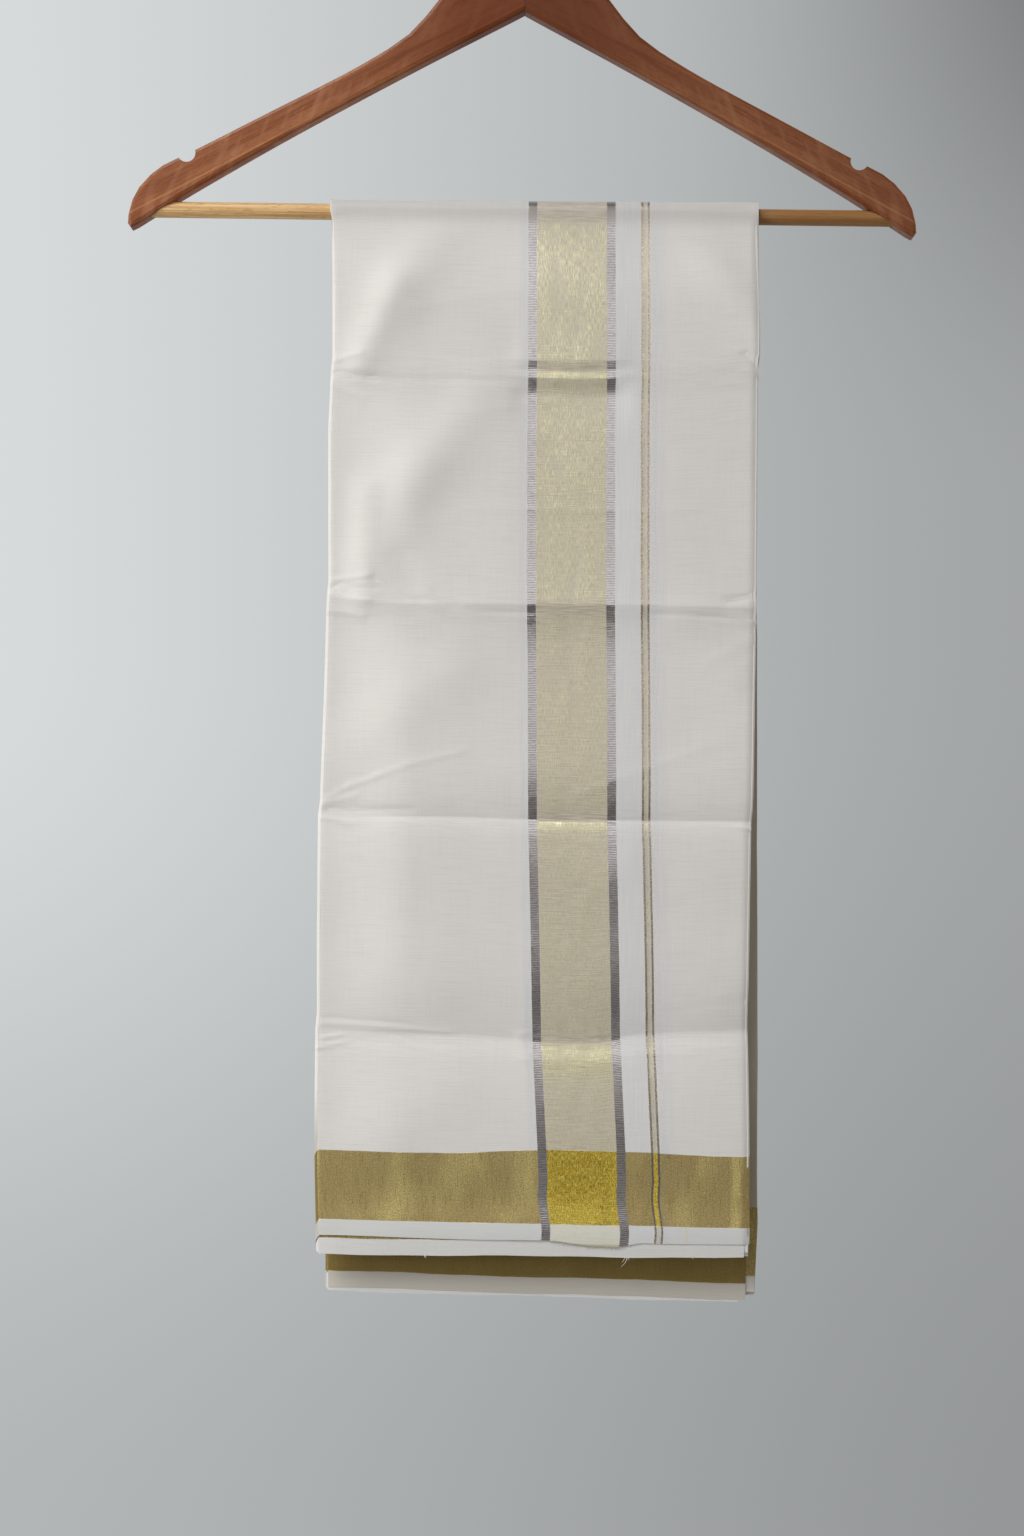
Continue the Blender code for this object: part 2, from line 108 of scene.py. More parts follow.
# The highest crease is sharp only where the stiff end band holds it
BAND_SLOPES = (
    (0, 0), (-52, 0), (-66, 0.03), (-86, 0.04), (-87.6, -0.2), (-91.2, -0.22), (-92.8, 0.04),
    (-96, 0.1), (-97.6, -0.2), (-101.5, -0.22), (-105, -0.1), (-108, 0.05), (-118, 0.07),
    (-132, 0),
)
REAR_SLOPES = (
    (0, 0), (-8, 0.04), (-60, 0.05), (-108, 0.03), (-117, -0.02), (-119, -0.12), (-128, -0.08),
    (-150, -0.02), (-200, 0), (-230, -0.06), (-239.4, -0.12), (-240.6, 0.12), (-250, 0.06),
    (-280, 0.02), (-340, 0.03), (-354, 0.08), (-360.4, 0.1), (-361.6, -0.12), (-372, -0.06),
    (-400, -0.01), (-460, -0.03), (-478, -0.09), (-483.4, -0.11), (-484.6, 0.12), (-494, 0.06),
    (-520, 0.01), (-560, -0.02), (-625, -0.01),
)

# How far each front crease rises or falls across the strip, as (x, rise), by its height
CREASE_DRIFT = (
    (0, ((-110, 0), (135, 0))),
    (-96, ((-110, 2.2), (-60, 1), (35, 0), (80, 2), (130, 7.5))),
    (-225.4, ((-110, 0.5), (135, 0.4))),
    (-346.6, ((-110, 1.2), (-30, 1), (20, 0), (135, 0.6))),
    (-471, ((-110, 3.8), (-30, 3), (20, 0.4), (45, 0), (70, 4.4), (130, 7.8))),
    (-540, ((-110, 0), (135, 0))),
)

# Soft slanting folds that the whole strip takes, as (x1, height1, x2, height2, rise, width)
FRONT_FOLDS = (
    (-48, -2, -86, -84, 2.6, 17), (-72, -44, -91, -92, 1.3, 9), (-26, -112, -60, -156, 1.6, 16),
    (-56, -152, -84, -208, 1.6, 17), (-86, -164, -87, -222, 1.5, 9),
    (-66, -200, -58, -226, -0.9, 8), (-20, -20, 6, -84, -0.7, 22), (94, -8, 142, -80, 2.2, 13),
    (92, -238, 122, -262, 0.8, 13), (-36, -262, -92, -306, 1.2, 18), (40, -150, 110, -206, 0.8, 20),
    (60, -380, 116, -448, 1, 18), (-92, -372, -40, -440, 1, 22), (-30, -500, -90, -540, 0.7, 18),
)
REAR_FOLDS = (
    (-60, 2, -102, -104, 1.7, 17), (84, -6, 128, -112, 1.8, 16), (-30, -250, -88, -330, 1, 18),
    (40, -376, 110, -450, 0.9, 18), (10, -130, 70, -210, 0.7, 22),
)

# Small sharp folds of the face leaf alone, most of them where its creases meet its edges
PINCHES = (
    (-106, -336, -94, -329.5, 0.3, 1.5), (-94, -329.5, -78, -323.5, 0.34, 1.6),
    (-78, -323.5, -60, -316.5, 0.34, 1.6), (-60, -316.5, -30, -309, 0.26, 1.8),
    (-108, -339, -90, -335, 0.4, 1.8), (-106, -343, -58, -342, -0.45, 1.9),
    (-109, -347.5, -92, -351, 0.35, 1.8), (-107, -90, -90, -85, 0.35, 2),
    (-107, -97, -82, -99, -0.5, 2), (-107, -104, -88, -110, 0.35, 2.2),
    (-86, -99.5, 2, -98.6, -0.26, 2.2), (-104, -212.5, -84, -210, 0.36, 1.5),
    (-106, -217, -80, -217.5, -0.34, 1.5), (-106, -221.5, -84, -224, 0.38, 1.6),
    (-106, -229, -88, -233, 0.5, 2.2), (-80, -212, -66, -222.5, -0.5, 3.8),
    (-64, -222.6, -34, -225, -0.3, 1.6), (-46, -219, -36, -226.5, -0.6, 2.8),
    (-18, -229.2, 8, -229.8, -0.3, 1.3), (78, -229.4, 136, -231.8, -0.35, 1.5),
    (118, -222, 133, -219, -0.5, 2.2), (122, -230, 134, -234, 0.5, 2.2),
    (-108, -466.5, -34, -470, 0.4, 1.5), (-104, -463, -60, -465.4, -0.24, 1.4),
    (-108, -474.8, -97, -473.2, 0.4, 1.2), (-110, -480, -95, -477, 0.35, 1.3),
    (5, -469, 8, -482, 0.7, 2.2), (102, -456.5, 132, -455.5, -0.35, 1.4),
    (128, -88, 136, -96, -0.7, 2), (126, -97, 136, -100.5, 0.4, 1.8),
    (127, -349.4, 134, -351.4, 0.5, 1.3), (108, -256, 134, -243, 0.3, 2.6),
    (-20, -116, 24, -108, 0.22, 2.6), (-60, -58, -6, -46, 0.22, 3.2),
    (40, -330, 118, -300, 0.22, 3.2), (-70, -395, 10, -418, 0.22, 3.4),
    (-30, -171, 92, -172, 0.16, 1.9),
)

# Where the face leaf's rows lie close together for them, as (upper height, lower height, step)
CLOSE_ROWS = (
    (-84, -112, 1.7), (-168, -174, 1.5), (-208, -235, 1.2), (-308, -353, 1.4), (-460, -483, 1.2),
)

# Frayed ends under the face leaf's hem, and threads hanging from the second leaf as (x, lean,
# length). Steps down them are (share of the lean, way forward, share of the length).
FRAY_START, FRAY_END, FRAY_COUNT = 23, 63.5, 88
FRAY_STEPS = ((0.3, 0.12, 0.5), (1, 0.05, 1))
LOOSE_STEPS = ((0.035, 0.3, 0.2), (0.35, 0.6, 0.55), (1, 0.5, 1))
LOOSE_THREADS = (
    (66.8, -3.4, 5.4), (66.2, 2.4, 1.4), (65.4, -1.4, 2.6), (67.4, 0.8, 1), (-48, 0.7, 1.7),
    (-47.2, -0.9, 1), (104, 0.5, 0.9),
)

# The middle of the woven end band on the face leaf, as (height, x)
BAND_MIDDLE = (
    (0, 28.3), (-95, 29.2), (-130, 29.2), (-226, 30.2), (-267, 31.2), (-347, 32.4), (-415, 34.7),
    (-469, 36.3), (-506, 38.4), (-536, 40.3), (-557, 40.9), (-577, 41.9), (-590, 42.4),
)
BAND_HALF_GOLD = 19.8
BAND_HALF_WIDTH = 24.8
STRIPE_START = 39.3
STRIPE_END = 44.2
STRIPE_RIM = 1.2
FAINT_LINE = 57.5
BORDER_LOW = 9.3
BORDER_HIGH = 48.6
NO_BAND = 300
NO_HEM = 500

# The creases fade towards the fold on the left, and the stiff end band sharpens the highest one
SOFT_EDGE, SOFT_WIDTH, SOFT_SHARE = -58, 44, 0.62
STIFF_MIDDLE, STIFF_REACH, STIFF_FADE = 29, 37, 11
SETTLE_DROP = 45

# Heights of the front fall's creases, where the gold band's metal gets painted shade, and the
# spans below them that get a painted highlight, as (low, high, soft)
CREASES_WITH_PAINTED_SHADE = (-92, -226, -346, -472)
LIT_BELOW = ((-96.6, -93, 1), (-351.5, -347.2, 1.2), (-490, -473.5, 6))

# The weave's threads and the silver stripes' ribs, from one to the next
WARP_PITCH, WEFT_PITCH, SILVER_RIB = 0.46, 0.5, 0.97


def place(x, y, height):
    """A point in the part's frame: X runs right and Y runs away from the viewer."""
    return Vector((x, y, height - HOOK_ABOVE_BAR)) * MM


def add(name, data):
    """An object in the scene that shows a mesh, a lamp or a camera."""
    piece = bpy.data.objects.new(name, data)
    bpy.context.scene.collection.objects.link(piece)
    return piece


def smooth_step(value):
    value = np.clip(value, 0.0, 1.0)
    return value * value * (3 - 2 * value)


def read(table, value):
    """A table's second column at a value of its first, straight between its rows."""
    rows = sorted(table)
    return np.interp(value, [row[0] for row in rows], [row[1] for row in rows])


def summed_slopes(table, height):
    """The depth that a table of slopes adds up to at a height, less the line to its end."""
    step = 0.25
    heights = np.arange(0, -630, -step)
    steps = read(table, heights) * step
    depth = np.cumsum(steps) - steps[0]
    depth -= depth[-1] * heights / heights[-1]
    return np.interp(-height, -heights, depth)


def lengths_along(line):
    return np.cumsum(np.r_[0, np.linalg.norm(np.diff(line, axis=0), axis=1)])


def ridge(line, x, height):
    """The rise of one soft fold or pinch: most along its line, and tapering past its ends."""
    x1, height1, x2, height2, rise, width = line
    along_x, along_h = x2 - x1, height2 - height1
    length = math.hypot(along_x, along_h)
    share = ((x - x1) * along_x + (height - height1) * along_h) / length**2
    beside = np.abs(along_x * (height - height1) - along_h * (x - x1)) / length
    past_end = np.maximum(np.maximum(-share, share - 1), 0) * length
    return rise * np.exp(-(beside**2 + past_end**2) / width**2)


def crease_drift(x, height):
    """How far a row at a height moves up or down at x, so that rows run along the creases."""
    levels = [row[0] for row in CREASE_DRIFT][::-1]
    drifts = [read(row[1], x) for row in CREASE_DRIFT][::-1]
    out = np.zeros(np.broadcast(x, height).shape)
    for low, high, first, second in zip(levels, levels[1:], drifts, drifts[1:]):
        share = np.clip((height - low) / (high - low), 0, 1)
        inside = (height >= low) & (height < high)
        out = np.where(inside, first + (second - first) * share, out)
    return out


def soft_waves(x, height, seed):
    """A slow, irregular swell, about one millimetre at most."""
    swell = np.sin(x / 23 + height / 61 + seed) * np.sin(height / 37 - x / 47 + 1.7 * seed)
    slow = np.sin(x / 49.0 - height / 90.0 + 2.3 * seed)
    return 0.18 * swell + 0.22 * slow


class Row:
    """A line across the strip: on the front fall (side -1), over the bar (0) or behind it (1)."""

    def __init__(self, side, height, turn=None):
        self.side = side
        self.height = height
        self.turn = turn
        self.spread = float(smooth_step(-height / SPREAD_DROP))

    def edge(self, front, rear):
        """An edge's x on this row. Over the bar it passes from the front's value to the rear's."""
        if self.turn is None:
            return float(read(front if self.side < 0 else rear, self.height))
        share = self.turn / math.pi
        return front[0][1] * (1 - share) + rear[0][1] * share

    def stack(self, x):
        """Thickness of the sixteen leaves at x."""
        on_bar = read(STACK_ON_BAR, x)
        return on_bar + (STACK_IN_FALL - on_bar) * self.spread

    def relief(self, x, level):
        """How far the fall leans out, with its creases, folds and swells, at a level for each x."""
        table, folds, seed = REAR_SLOPES, REAR_FOLDS, 2.1
        if self.side < 0:
            table, folds, seed = FRONT_SLOPES, FRONT_FOLDS, 0.4
        strength = 1 - SOFT_SHARE * smooth_step((SOFT_EDGE - x) / SOFT_WIDTH)
        lift = summed_slopes(table, level) * strength
        if self.side < 0:
            stiff = smooth_step((STIFF_REACH - np.abs(x - STIFF_MIDDLE)) / STIFF_FADE)
            lift = lift + stiff * summed_slopes(BAND_SLOPES, level)
        for fold in folds:
            lift = lift + ridge(fold, x, level)
        lift = lift + soft_waves(x, level, seed)
        return lift * smooth_step(-self.height / SETTLE_DROP)

    def inner_face(self):
        lower = float(smooth_step(-self.height / 600))
        gap = INNER_HALF_GAP + (INNER_HALF_GAP_AT_HEM - INNER_HALF_GAP) * lower
        return INNER_RADIUS_ON_BAR + (gap - INNER_RADIUS_ON_BAR) * self.spread

    def points(self, x, out, hem, extra=0.0):
        """Places for arrays of x and of distance from the stack's inner face, and their heights.

        hem is (left, right, curve). Rows near it are stretched, so that the last one lies on it."""
        x = np.asarray(x, float)
        if self.turn is not None:
            radius = INNER_RADIUS_ON_BAR + out + extra
            y = -radius * np.cos(self.turn)
            height = radius * np.sin(self.turn)
        else:
            height = self.height + np.zeros_like(x)
            if self.side < 0:
                height = height + crease_drift(x, height)
            start, end = LOWEST_RELIEF_ROW, LAST_ROW_FRONT if self.side < 0 else LAST_ROW_REAR
            near_hem = np.clip((self.height - start) / (end - start), 0, 1)
            stretched = start + (hem_line(hem, x) - start) * near_hem
            height = np.where(self.height < start, stretched, height)
            level = np.where(self.height < start, height, self.height)
            y = self.side * (self.inner_face() + self.relief(x, level) + out + extra)
        return np.stack([x * MM, y * MM, (height - HOOK_ABOVE_BAR) * MM], axis=1), height


def row_gap(height, fill, close):
    """The widest gap allowed between rows at a height."""
    for upper, lower, step in close:
        if lower <= height <= upper:
            return step
    return fill


def fall_heights(tables, fill, offsets, end, close=()):
    """Heights of the rows of one fall: close together where its slope changes sharply."""
    heights = {0.0, end}
    for upper, lower, _ in close:
        heights |= {float(upper), float(lower)}
    steps = [step for slopes in tables for step in zip(slopes, slopes[1:])]
    for (above, slope_above), (below, slope_below) in steps:
        heights |= {float(above), float(below)}
        if abs(slope_above - slope_below) > 0.08 and above - below < 3.5:
            middle = (above + below) / 2
            heights |= {middle + sign * offset for offset in offsets for sign in (-1, 1)}
    heights = sorted((h for h in heights if end <= h <= 0), reverse=True)
    kept = [heights[0]]
    for height in heights[1:]:
        if kept[-1] - height > 0.28:
            kept.append(height)
    filled = [kept[0]]
    for height in kept[1:]:
        gap = filled[-1] - height
        count = max(1, math.ceil(gap / row_gap((filled[-1] + height) / 2, fill, close)))
        filled += [filled[-1] - gap * (k + 1) / count for k in range(count)]
    return filled


def strip_rows(fill_front, fill_rear, offsets, turns, close=()):
    """Rows from the front hem up, over the bar and down to the rear hem."""
    front_tables = (FRONT_SLOPES, BAND_SLOPES)
    heights = fall_heights(front_tables, fill_front, offsets, LAST_ROW_FRONT, close)
    front = [Row(-1, height) for height in heights]
    heights = fall_heights((REAR_SLOPES,), fill_rear, offsets, LAST_ROW_REAR)
    rear = [Row(1, height) for height in heights]
    bar = [Row(0, 0.0, turn=math.pi * k / turns) for k in range(1, turns)]
    return front[::-1] + bar + rear


def shares(start, *spans):
    """Column shares from 0 to 1, made of spans (to, count)."""
    out = [start]
    for to, count in spans:
        here = out[-1]
        out += [here + (to - here) * (k + 1) / count for k in range(count)]
    return np.array(out)


def face_hem(x):
    """The face leaf's hem drops a little below the band, where the metal threads hold it out."""
    bulge = smooth_step((x - 20) / 30) * (1 - smooth_step((x - 61) / 15))
    return -2.7 * bulge + 0.3 * np.sin(x / 19.0)


def page_hem(seed):
    return lambda x: 0.3 * np.sin(x / 21.0 + seed) + 0.18 * np.sin(x / 8.0 + 2 * seed)


def leaf_pair(name, order, rows, outer_shares, bend_steps, inner_shares):
    """Two leaves joined by their round fold on the left, as one thin closed sheet.

    order counts from the outermost pair. Each point keeps its place on the cloth for the finish."""
    outer_leaf = LEAVES[order]
    inner_leaf = LEAVES[LEAF_COUNT - 1 - order]
    is_face = order == 0
    grid, woven, banded = [], [], []
    travelled = 0.0
    last_middle = None
    for row in rows:
        spine = row.edge(SPINE_FRONT, SPINE_REAR)
        radius = float(row.stack(np.array([spine]))[0]) / 2
        bend_x = spine + radius
        side = int(row.side > 0 or (row.turn or 0) > math.pi / 2)
        outer_curve = face_hem if is_face and not side else page_hem(order * 1.3 + side)
        outer_right, outer_hem = right_and_hem(row, outer_leaf, RIGHT_REAR, side, outer_curve)
        inner_table = RIGHT_REAR if order and inner_leaf[0] > -1 else INNER_RIGHT_REAR
        inner_curve = page_hem(order * 2.1 + 4 + side)
        inner_right, inner_hem = right_and_hem(row, inner_leaf, inner_table, side, inner_curve)

        outer_x = outer_right + (bend_x - outer_right) * outer_shares
        stack = row.stack(outer_x)
        pitch = stack / LEAF_COUNT
        extra = np.zeros_like(outer_x)
        if is_face:
            extra = extra + face_details(row, outer_x, outer_right)
        outer_out = stack - (order + 0.5) * pitch
        outer_points, outer_heights = row.points(outer_x, outer_out, outer_hem, extra)

        thin = 2 * radius / LEAF_COUNT
        bend_radius = radius - (order + 0.5) * thin
        angles = math.pi * (0.5 + np.arange(1, bend_steps) / bend_steps)
        spine_x = bend_x + bend_radius * np.cos(angles)
        middle_hem = between_hems(outer_hem, inner_hem, np.arange(1, bend_steps) / bend_steps)
        spine_out = radius + bend_radius * np.sin(angles)
        spine_extra = face_details(row, spine_x, outer_right) if is_face else 0.0
        spine_points, spine_heights = row.points(spine_x, spine_out, middle_hem, spine_extra)

        inner_x = bend_x + (inner_right - bend_x) * inner_shares
        inner_out = (order + 0.5) * row.stack(inner_x) / LEAF_COUNT
        inner_points, inner_heights = row.points(inner_x, inner_out, inner_hem)
        line = np.concatenate([outer_points, spine_points, inner_points])
        middle = line[len(outer_x) // 2]
        if last_middle is not None:
            travelled += float(np.linalg.norm(middle - last_middle)) / MM
        last_middle = middle
        x = np.concatenate([outer_x, spine_x, inner_x])
        heights = np.concatenate([outer_heights, spine_heights, inner_heights])
        grid.append(line)
        across = lengths_along(line) / MM
        same = np.ones_like(x)
        woven.append(np.stack([across, same * travelled, same * 40 * order], 1))

        spans = ((outer_hem, outer_x), (middle_hem, spine_x), (inner_hem, inner_x))
        banded.append(band_and_hem(row, x, heights, spans, len(outer_x) if is_face else 0))
    return thin_sheet(name, np.array(grid), np.array(woven), np.array(banded), row_thickness(rows))


def right_and_hem(row, leaf, rear_table, side, curve):
    """A leaf's right edge on a row, and its hem on the side of the bar where the row is."""
    right = row.edge(RIGHT_FRONT, rear_table) + leaf[0] * (1 + 0.8 * side)
    return right, (*leaf[1 + 2 * side : 3 + 2 * side], curve)


def band_and_hem(row, x, heights, spans, face_width):
    """How far each point lies from the end band's middle and from its hem, and its x.

    spans are (hem, x) for the outer leaf, the fold and the inner leaf. face_width counts the row's
    points on the face leaf, whose border doesn't follow its hem's drop below the band."""
    band = np.full_like(x, NO_BAND)
    from_hem = np.full_like(x, NO_HEM)
    is_front_face = face_width > 0 and row.side < 0
    if face_width:
        level = row.height if row.turn is None else -6.0
        middle_x = float(read(BAND_MIDDLE, level if row.side <= 0 else 0.25 * level))
        band[:face_width] = x[:face_width] - middle_x
    if row.turn is None:
        lines = [hem_line(hem, at) for hem, at in spans]
        if is_front_face:
            lines[0] = hem_line(*spans[0], is_straight=True)
        from_hem = heights - np.concatenate(lines)
    if is_front_face:
        gather = smooth_step((x + 40) / 62) * (1 - 0.5 * smooth_step((x - 62) / 60))
        from_hem = from_hem - 3.1 * gather * smooth_step(from_hem / 46)
        band = band - 0.5 * np.sin(heights / 5.5) * smooth_step((40 - from_hem) / 12)
    return np.stack([band, from_hem, x], 1)


def between_hems(first, second, share):
    """A hem that passes from one leaf's to another's round their fold, by each point's share."""
    left, right = (first[k] + (second[k] - first[k]) * share for k in (0, 1))
    return left, right, lambda x: first[2](x) * (1 - share) + second[2](x) * share


def hem_line(hem, x, is_straight=False):
    """The height at x of a hem (left, right, curve), with its curve or straight."""
    share = (x - STRIP_LEFT) / (STRIP_RIGHT - STRIP_LEFT)
    line = hem[0] + (hem[1] - hem[0]) * share
    return line if is_straight else line + hem[2](x)


def face_details(row, x, right):
    """What the face leaf does on its own: pinches, a lifted hem and an edge that curls back."""
    if row.turn is not None:
        bunch = smooth_step((-98 - x) / 10)
        return 0.35 * bunch * (0.5 + 0.5 * np.sin(row.turn * 11 + x * 0.5))
    lift = np.zeros_like(x)
    settled = float(smooth_step(-row.height / 12))
    if row.side < 0:
        for pinch in PINCHES:
            lift = lift + ridge(pinch, x, row.height)
        bunch = smooth_step((-94 - x) / 12) * math.exp(-((row.height + 4) / 9) ** 2)
        lift = lift + 0.6 * bunch * (0.5 + 0.5 * np.sin(row.height * 1.4 + x * 0.35))
    hem_start = -545.0 if row.side < 0 else -575.0
    near_hem = float(smooth_step((hem_start - row.height) / 50))
    lift = lift + near_hem * (0.28 + 0.22 * np.sin(x / 26.0 + 0.6))
    curl = np.clip(1 - (right - x) / 5.0, 0, 1)
    return lift + 0.12 * settled - 1.5 * settled * curl**2


def row_thickness(rows):
    """Half the thickness of one leaf on each row: thinner where the bar presses the stack."""
    spread = np.array([row.spread for row in rows])
    on_bar = STACK_ON_BAR[0][1] / LEAF_COUNT
    in_fall = STACK_IN_FALL / LEAF_COUNT
    return (on_bar + (in_fall - on_bar) * spread) * THREAD_SHARE / 2


def thin_sheet(name, grid, woven, banded, half_thickness):
    """A closed sheet with an outer and an inner side, joined round its rim."""
    down = np.gradient(grid, axis=0)
    along = np.gradient(grid, axis=1)
    normal = np.cross(along, down)
    normal /= np.maximum(np.linalg.norm(normal, axis=2, keepdims=True), 1e-12)
    push = normal * half_thickness[:, None, None] * MM
    row_count, width = grid.shape[:2]
    points = np.concatenate([(grid + push).reshape(-1, 3), (grid - push).reshape(-1, 3)])
    index = np.arange(row_count * width).reshape(row_count, width)
    one, two = index[:-1, :-1], index[:-1, 1:]
    three, four = index[1:, 1:], index[1:, :-1]
    side = np.stack([one, two, three, four], 2).reshape(-1, 4)
    back = side[:, ::-1] + row_count * width
    rim = np.concatenate([index[0], index[1:, -1], index[-1, -2::-1], index[-2:0:-1, 0]])
    turned = np.roll(rim, -1)
    edge = np.stack([turned, rim, rim + row_count * width, turned + row_count * width], 1)
    faces = np.concatenate([side, back, edge])
    mesh = bpy.data.meshes.new(name)
    mesh.from_pydata(points.tolist(), [], faces.tolist())
    for label, values in (("woven", woven), ("banded", banded)):
        flat = values.reshape(-1, 3)
        layer = mesh.attributes.new(label, "FLOAT_VECTOR", "POINT")
        layer.data.foreach_set("vector", np.concatenate([flat, flat]).astype(np.float32).ravel())
    add_bake_map(mesh, grid, row_count, width)
    mesh.update()
    mesh.shade_smooth()
    mesh.set_sharp_from_angle(angle=math.radians(55))
    return add(name, mesh)


def add_bake_map(mesh, grid, row_count, width):
    """A flat map with the sheet's outer side in its left half and its inner side in the right."""
    across = lengths_along(grid[row_count // 2])
    down = lengths_along(grid[:, width // 4])
    u = 0.004 + 0.488 * across / across[-1]
    v = 0.004 + 0.992 * down / down[-1]
    outer = np.stack(np.broadcast_arrays(u[None, :], v[:, None]), 2).reshape(-1, 2)
    inner = outer * (-1, 1) + (1, 0)
    places = np.concatenate([outer, inner])
    corners = np.empty(len(mesh.loops), np.int32)
    mesh.loops.foreach_get("vertex_index", corners)
    layer = mesh.uv_layers.new(name="OFBake", do_init=False)
    layer.uv.foreach_set("vector", places[corners].astype(np.float32).ravel())


class Value:
    """A number that changes over a surface. Sums on it add the nodes that work them out."""

    def __init__(self, finish, socket):
        self.finish = finish
        self.socket = socket

    def of(self, operation, *numbers):
        node = self.finish.node("Math", dict(enumerate(numbers)), operation=operation)
        return Value(self.finish, node.outputs[0])

    def __add__(self, other):
        return self.of("ADD", self, other)

    def __sub__(self, other):
        return self.of("SUBTRACT", self, other)

    def __rsub__(self, other):
        return self.of("SUBTRACT", other, self)

    def __mul__(self, other):
        return self.of("MULTIPLY", self, other)

    def __abs__(self):
        return self.of("ABSOLUTE", self)

    __radd__ = __add__
    __rmul__ = __mul__

    def wave(self, length):
        """A wave between 0 and 1, one crest for each length."""
        return 0.5 + 0.5 * self.of("SINE", self * (2 * math.pi / length))

    def between(self, low, high, low_out=0.0, high_out=1.0):
        """Passes smoothly from low_out at low to high_out at high, and stays there beyond them."""
        sockets = {0: self, 1: low, 2: high, 3: low_out, 4: high_out}
        node = self.finish.node("MapRange", sockets, interpolation_type="SMOOTHSTEP")
        return Value(self.finish, node.outputs[0])

    def inside(self, low, high, soft):
        """1 from low to high, with edges as wide as soft."""
        rise = self.between(low - soft / 2, low + soft / 2)
        return rise * self.between(high - soft / 2, high + soft / 2, 1.0, 0.0)


class Nodes:
    """The nodes of one material or of the room, and short ways to add to them."""

    def __init__(self, tree):
        self.tree = tree

    def node(self, kind, sockets=None, **settings):
        """Any node: its settings are set first, then the values or links of its sockets."""
        node = self.tree.nodes.new("ShaderNode" + kind)
        for key, value in settings.items():
            setattr(node, key, value)
        for key, value in (sockets or {}).items():
            if isinstance(value, Value):
                value = value.socket
            if isinstance(value, bpy.types.NodeSocket):
                self.tree.links.new(value, node.inputs[key])
            else:
                node.inputs[key].default_value = value
        return node

    def parts(self, vector):
        """A vector's three numbers."""
        split = self.node("SeparateXYZ", {0: vector})
        return [Value(self, part) for part in split.outputs]

    def attribute(self, name):
        """The three numbers that each point of a sheet keeps under a name, and their vector."""
        vector = self.node("Attribute", attribute_name=name).outputs["Vector"]
        return vector, *self.parts(vector)

    def millimetres(self):
        """The place on a rigid piece, in millimetres, and its vector."""
        place_on = self.node("TexCoord").outputs["Object"]
        vector = self.scaled(place_on, (1000, 1000, 1000))
        return vector, *self.parts(vector)

    def scaled(self, vector, factors):
        node = self.node("VectorMath", {0: vector, 1: factors}, operation="MULTIPLY")
        return node.outputs[0]

    def vector(self, x, y, z):
        return self.node("CombineXYZ", {0: x, 1: y, 2: z}).outputs[0]

    def noise(self, vector, size, detail=2.0, roughness=0.5, distortion=0.0):
        """Cloudy noise from 0 to 1. Its blotches are about size, in millimetres, on each axis."""
        sockets = {"Scale": 1.0, "Detail": detail, "Roughness": roughness, "Distortion": distortion}
        sockets["Vector"] = self.scaled(vector, tuple(1 / s for s in size))
        return Value(self, self.node("TexNoise", sockets).outputs[0])

    def mix(self, share, first, second):
        """A colour between two, first where share is 0."""
        node = self.node("Mix", {0: share}, data_type="RGBA")
        for socket, colour in ((node.inputs[6], first), (node.inputs[7], second)):
            if isinstance(colour, bpy.types.NodeSocket):
                self.tree.links.new(colour, socket)
            else:
                socket.default_value = (*colour, 1.0)
        return node.outputs[2]


class Finish(Nodes):
    """One material, and the nodes that make its colour, gloss and fine relief."""

    def __init__(self, name, **constants):
        self.material = bpy.data.materials.new(name)
        self.material.use_nodes = True
        super().__init__(self.material.node_tree)
        self.shader = self.tree.nodes["Principled BSDF"]
        for socket, value in constants.items():
            self.shader.inputs[socket.replace("_", " ")].default_value = value

    def feed(self, **sockets):
        for name, value in sockets.items():
            if isinstance(value, Value):
                value = value.socket
            self.tree.links.new(value, self.shader.inputs[name.replace("_", " ")])

    def lay(self, share, colour):
        """Lays a colour over those before it, where share is 1."""
        self.colour = self.mix(share, self.colour, colour)

    def raise_by(self, height):
        """Fine relief: height is a Value in millimetres."""
        sockets = {"Height": height, "Distance": MM, "Strength": 1.0}
        bump = self.node("Bump", sockets)
        self.feed(Normal=bump.outputs[0])


COTTON = (0.8, 0.785, 0.765)
COTTON_SHADE = (0.7, 0.675, 0.65)
COTTON_PAINTED_SHADE = (0.46, 0.435, 0.37)
COTTON_PAINTED_WARM_SHADE = (0.44, 0.36, 0.24)
PAINTED_SHADE_ON_BAR = (0.42, 0.41, 0.39)
COTTON_THIN = (0.7, 0.715, 0.745)
SILVER = (0.97, 0.945, 0.98)
SILVER_GAP = (0.43, 0.39, 0.37)
GOLD_TISSUE = (0.69, 0.64, 0.5)
GOLD_GLINT = (0.97, 0.92, 0.6)
GOLD_GROUND = (0.56, 0.515, 0.405)
GOLD_BEIGE = (0.7, 0.635, 0.52)
GOLD_BEIGE_SHADE = (0.53, 0.475, 0.385)
BORDER_GOLD = (0.62, 0.485, 0.225)
BORDER_GLINT = (0.95, 0.8, 0.34)
BORDER_DARK = (0.27, 0.19, 0.052)
FULL_GOLD = (1.0, 0.71, 0.08)
FULL_GOLD_DARK = (0.34, 0.21, 0.015)
FULL_GOLD_GLINT = (1.0, 0.88, 0.22)
SELVEDGE = (0.66, 0.68, 0.68)
HEM_CREAM = (0.76, 0.745, 0.66)
RAW_EDGE = (0.5, 0.45, 0.31)
STRIPE_EDGE = (0.5, 0.41, 0.31)
STRIPE_DOT = (0.84, 0.79, 0.72)
STRIPE_SPECK = (0.5, 0.49, 0.51)
FAINT_GOLD = (0.72, 0.62, 0.34)


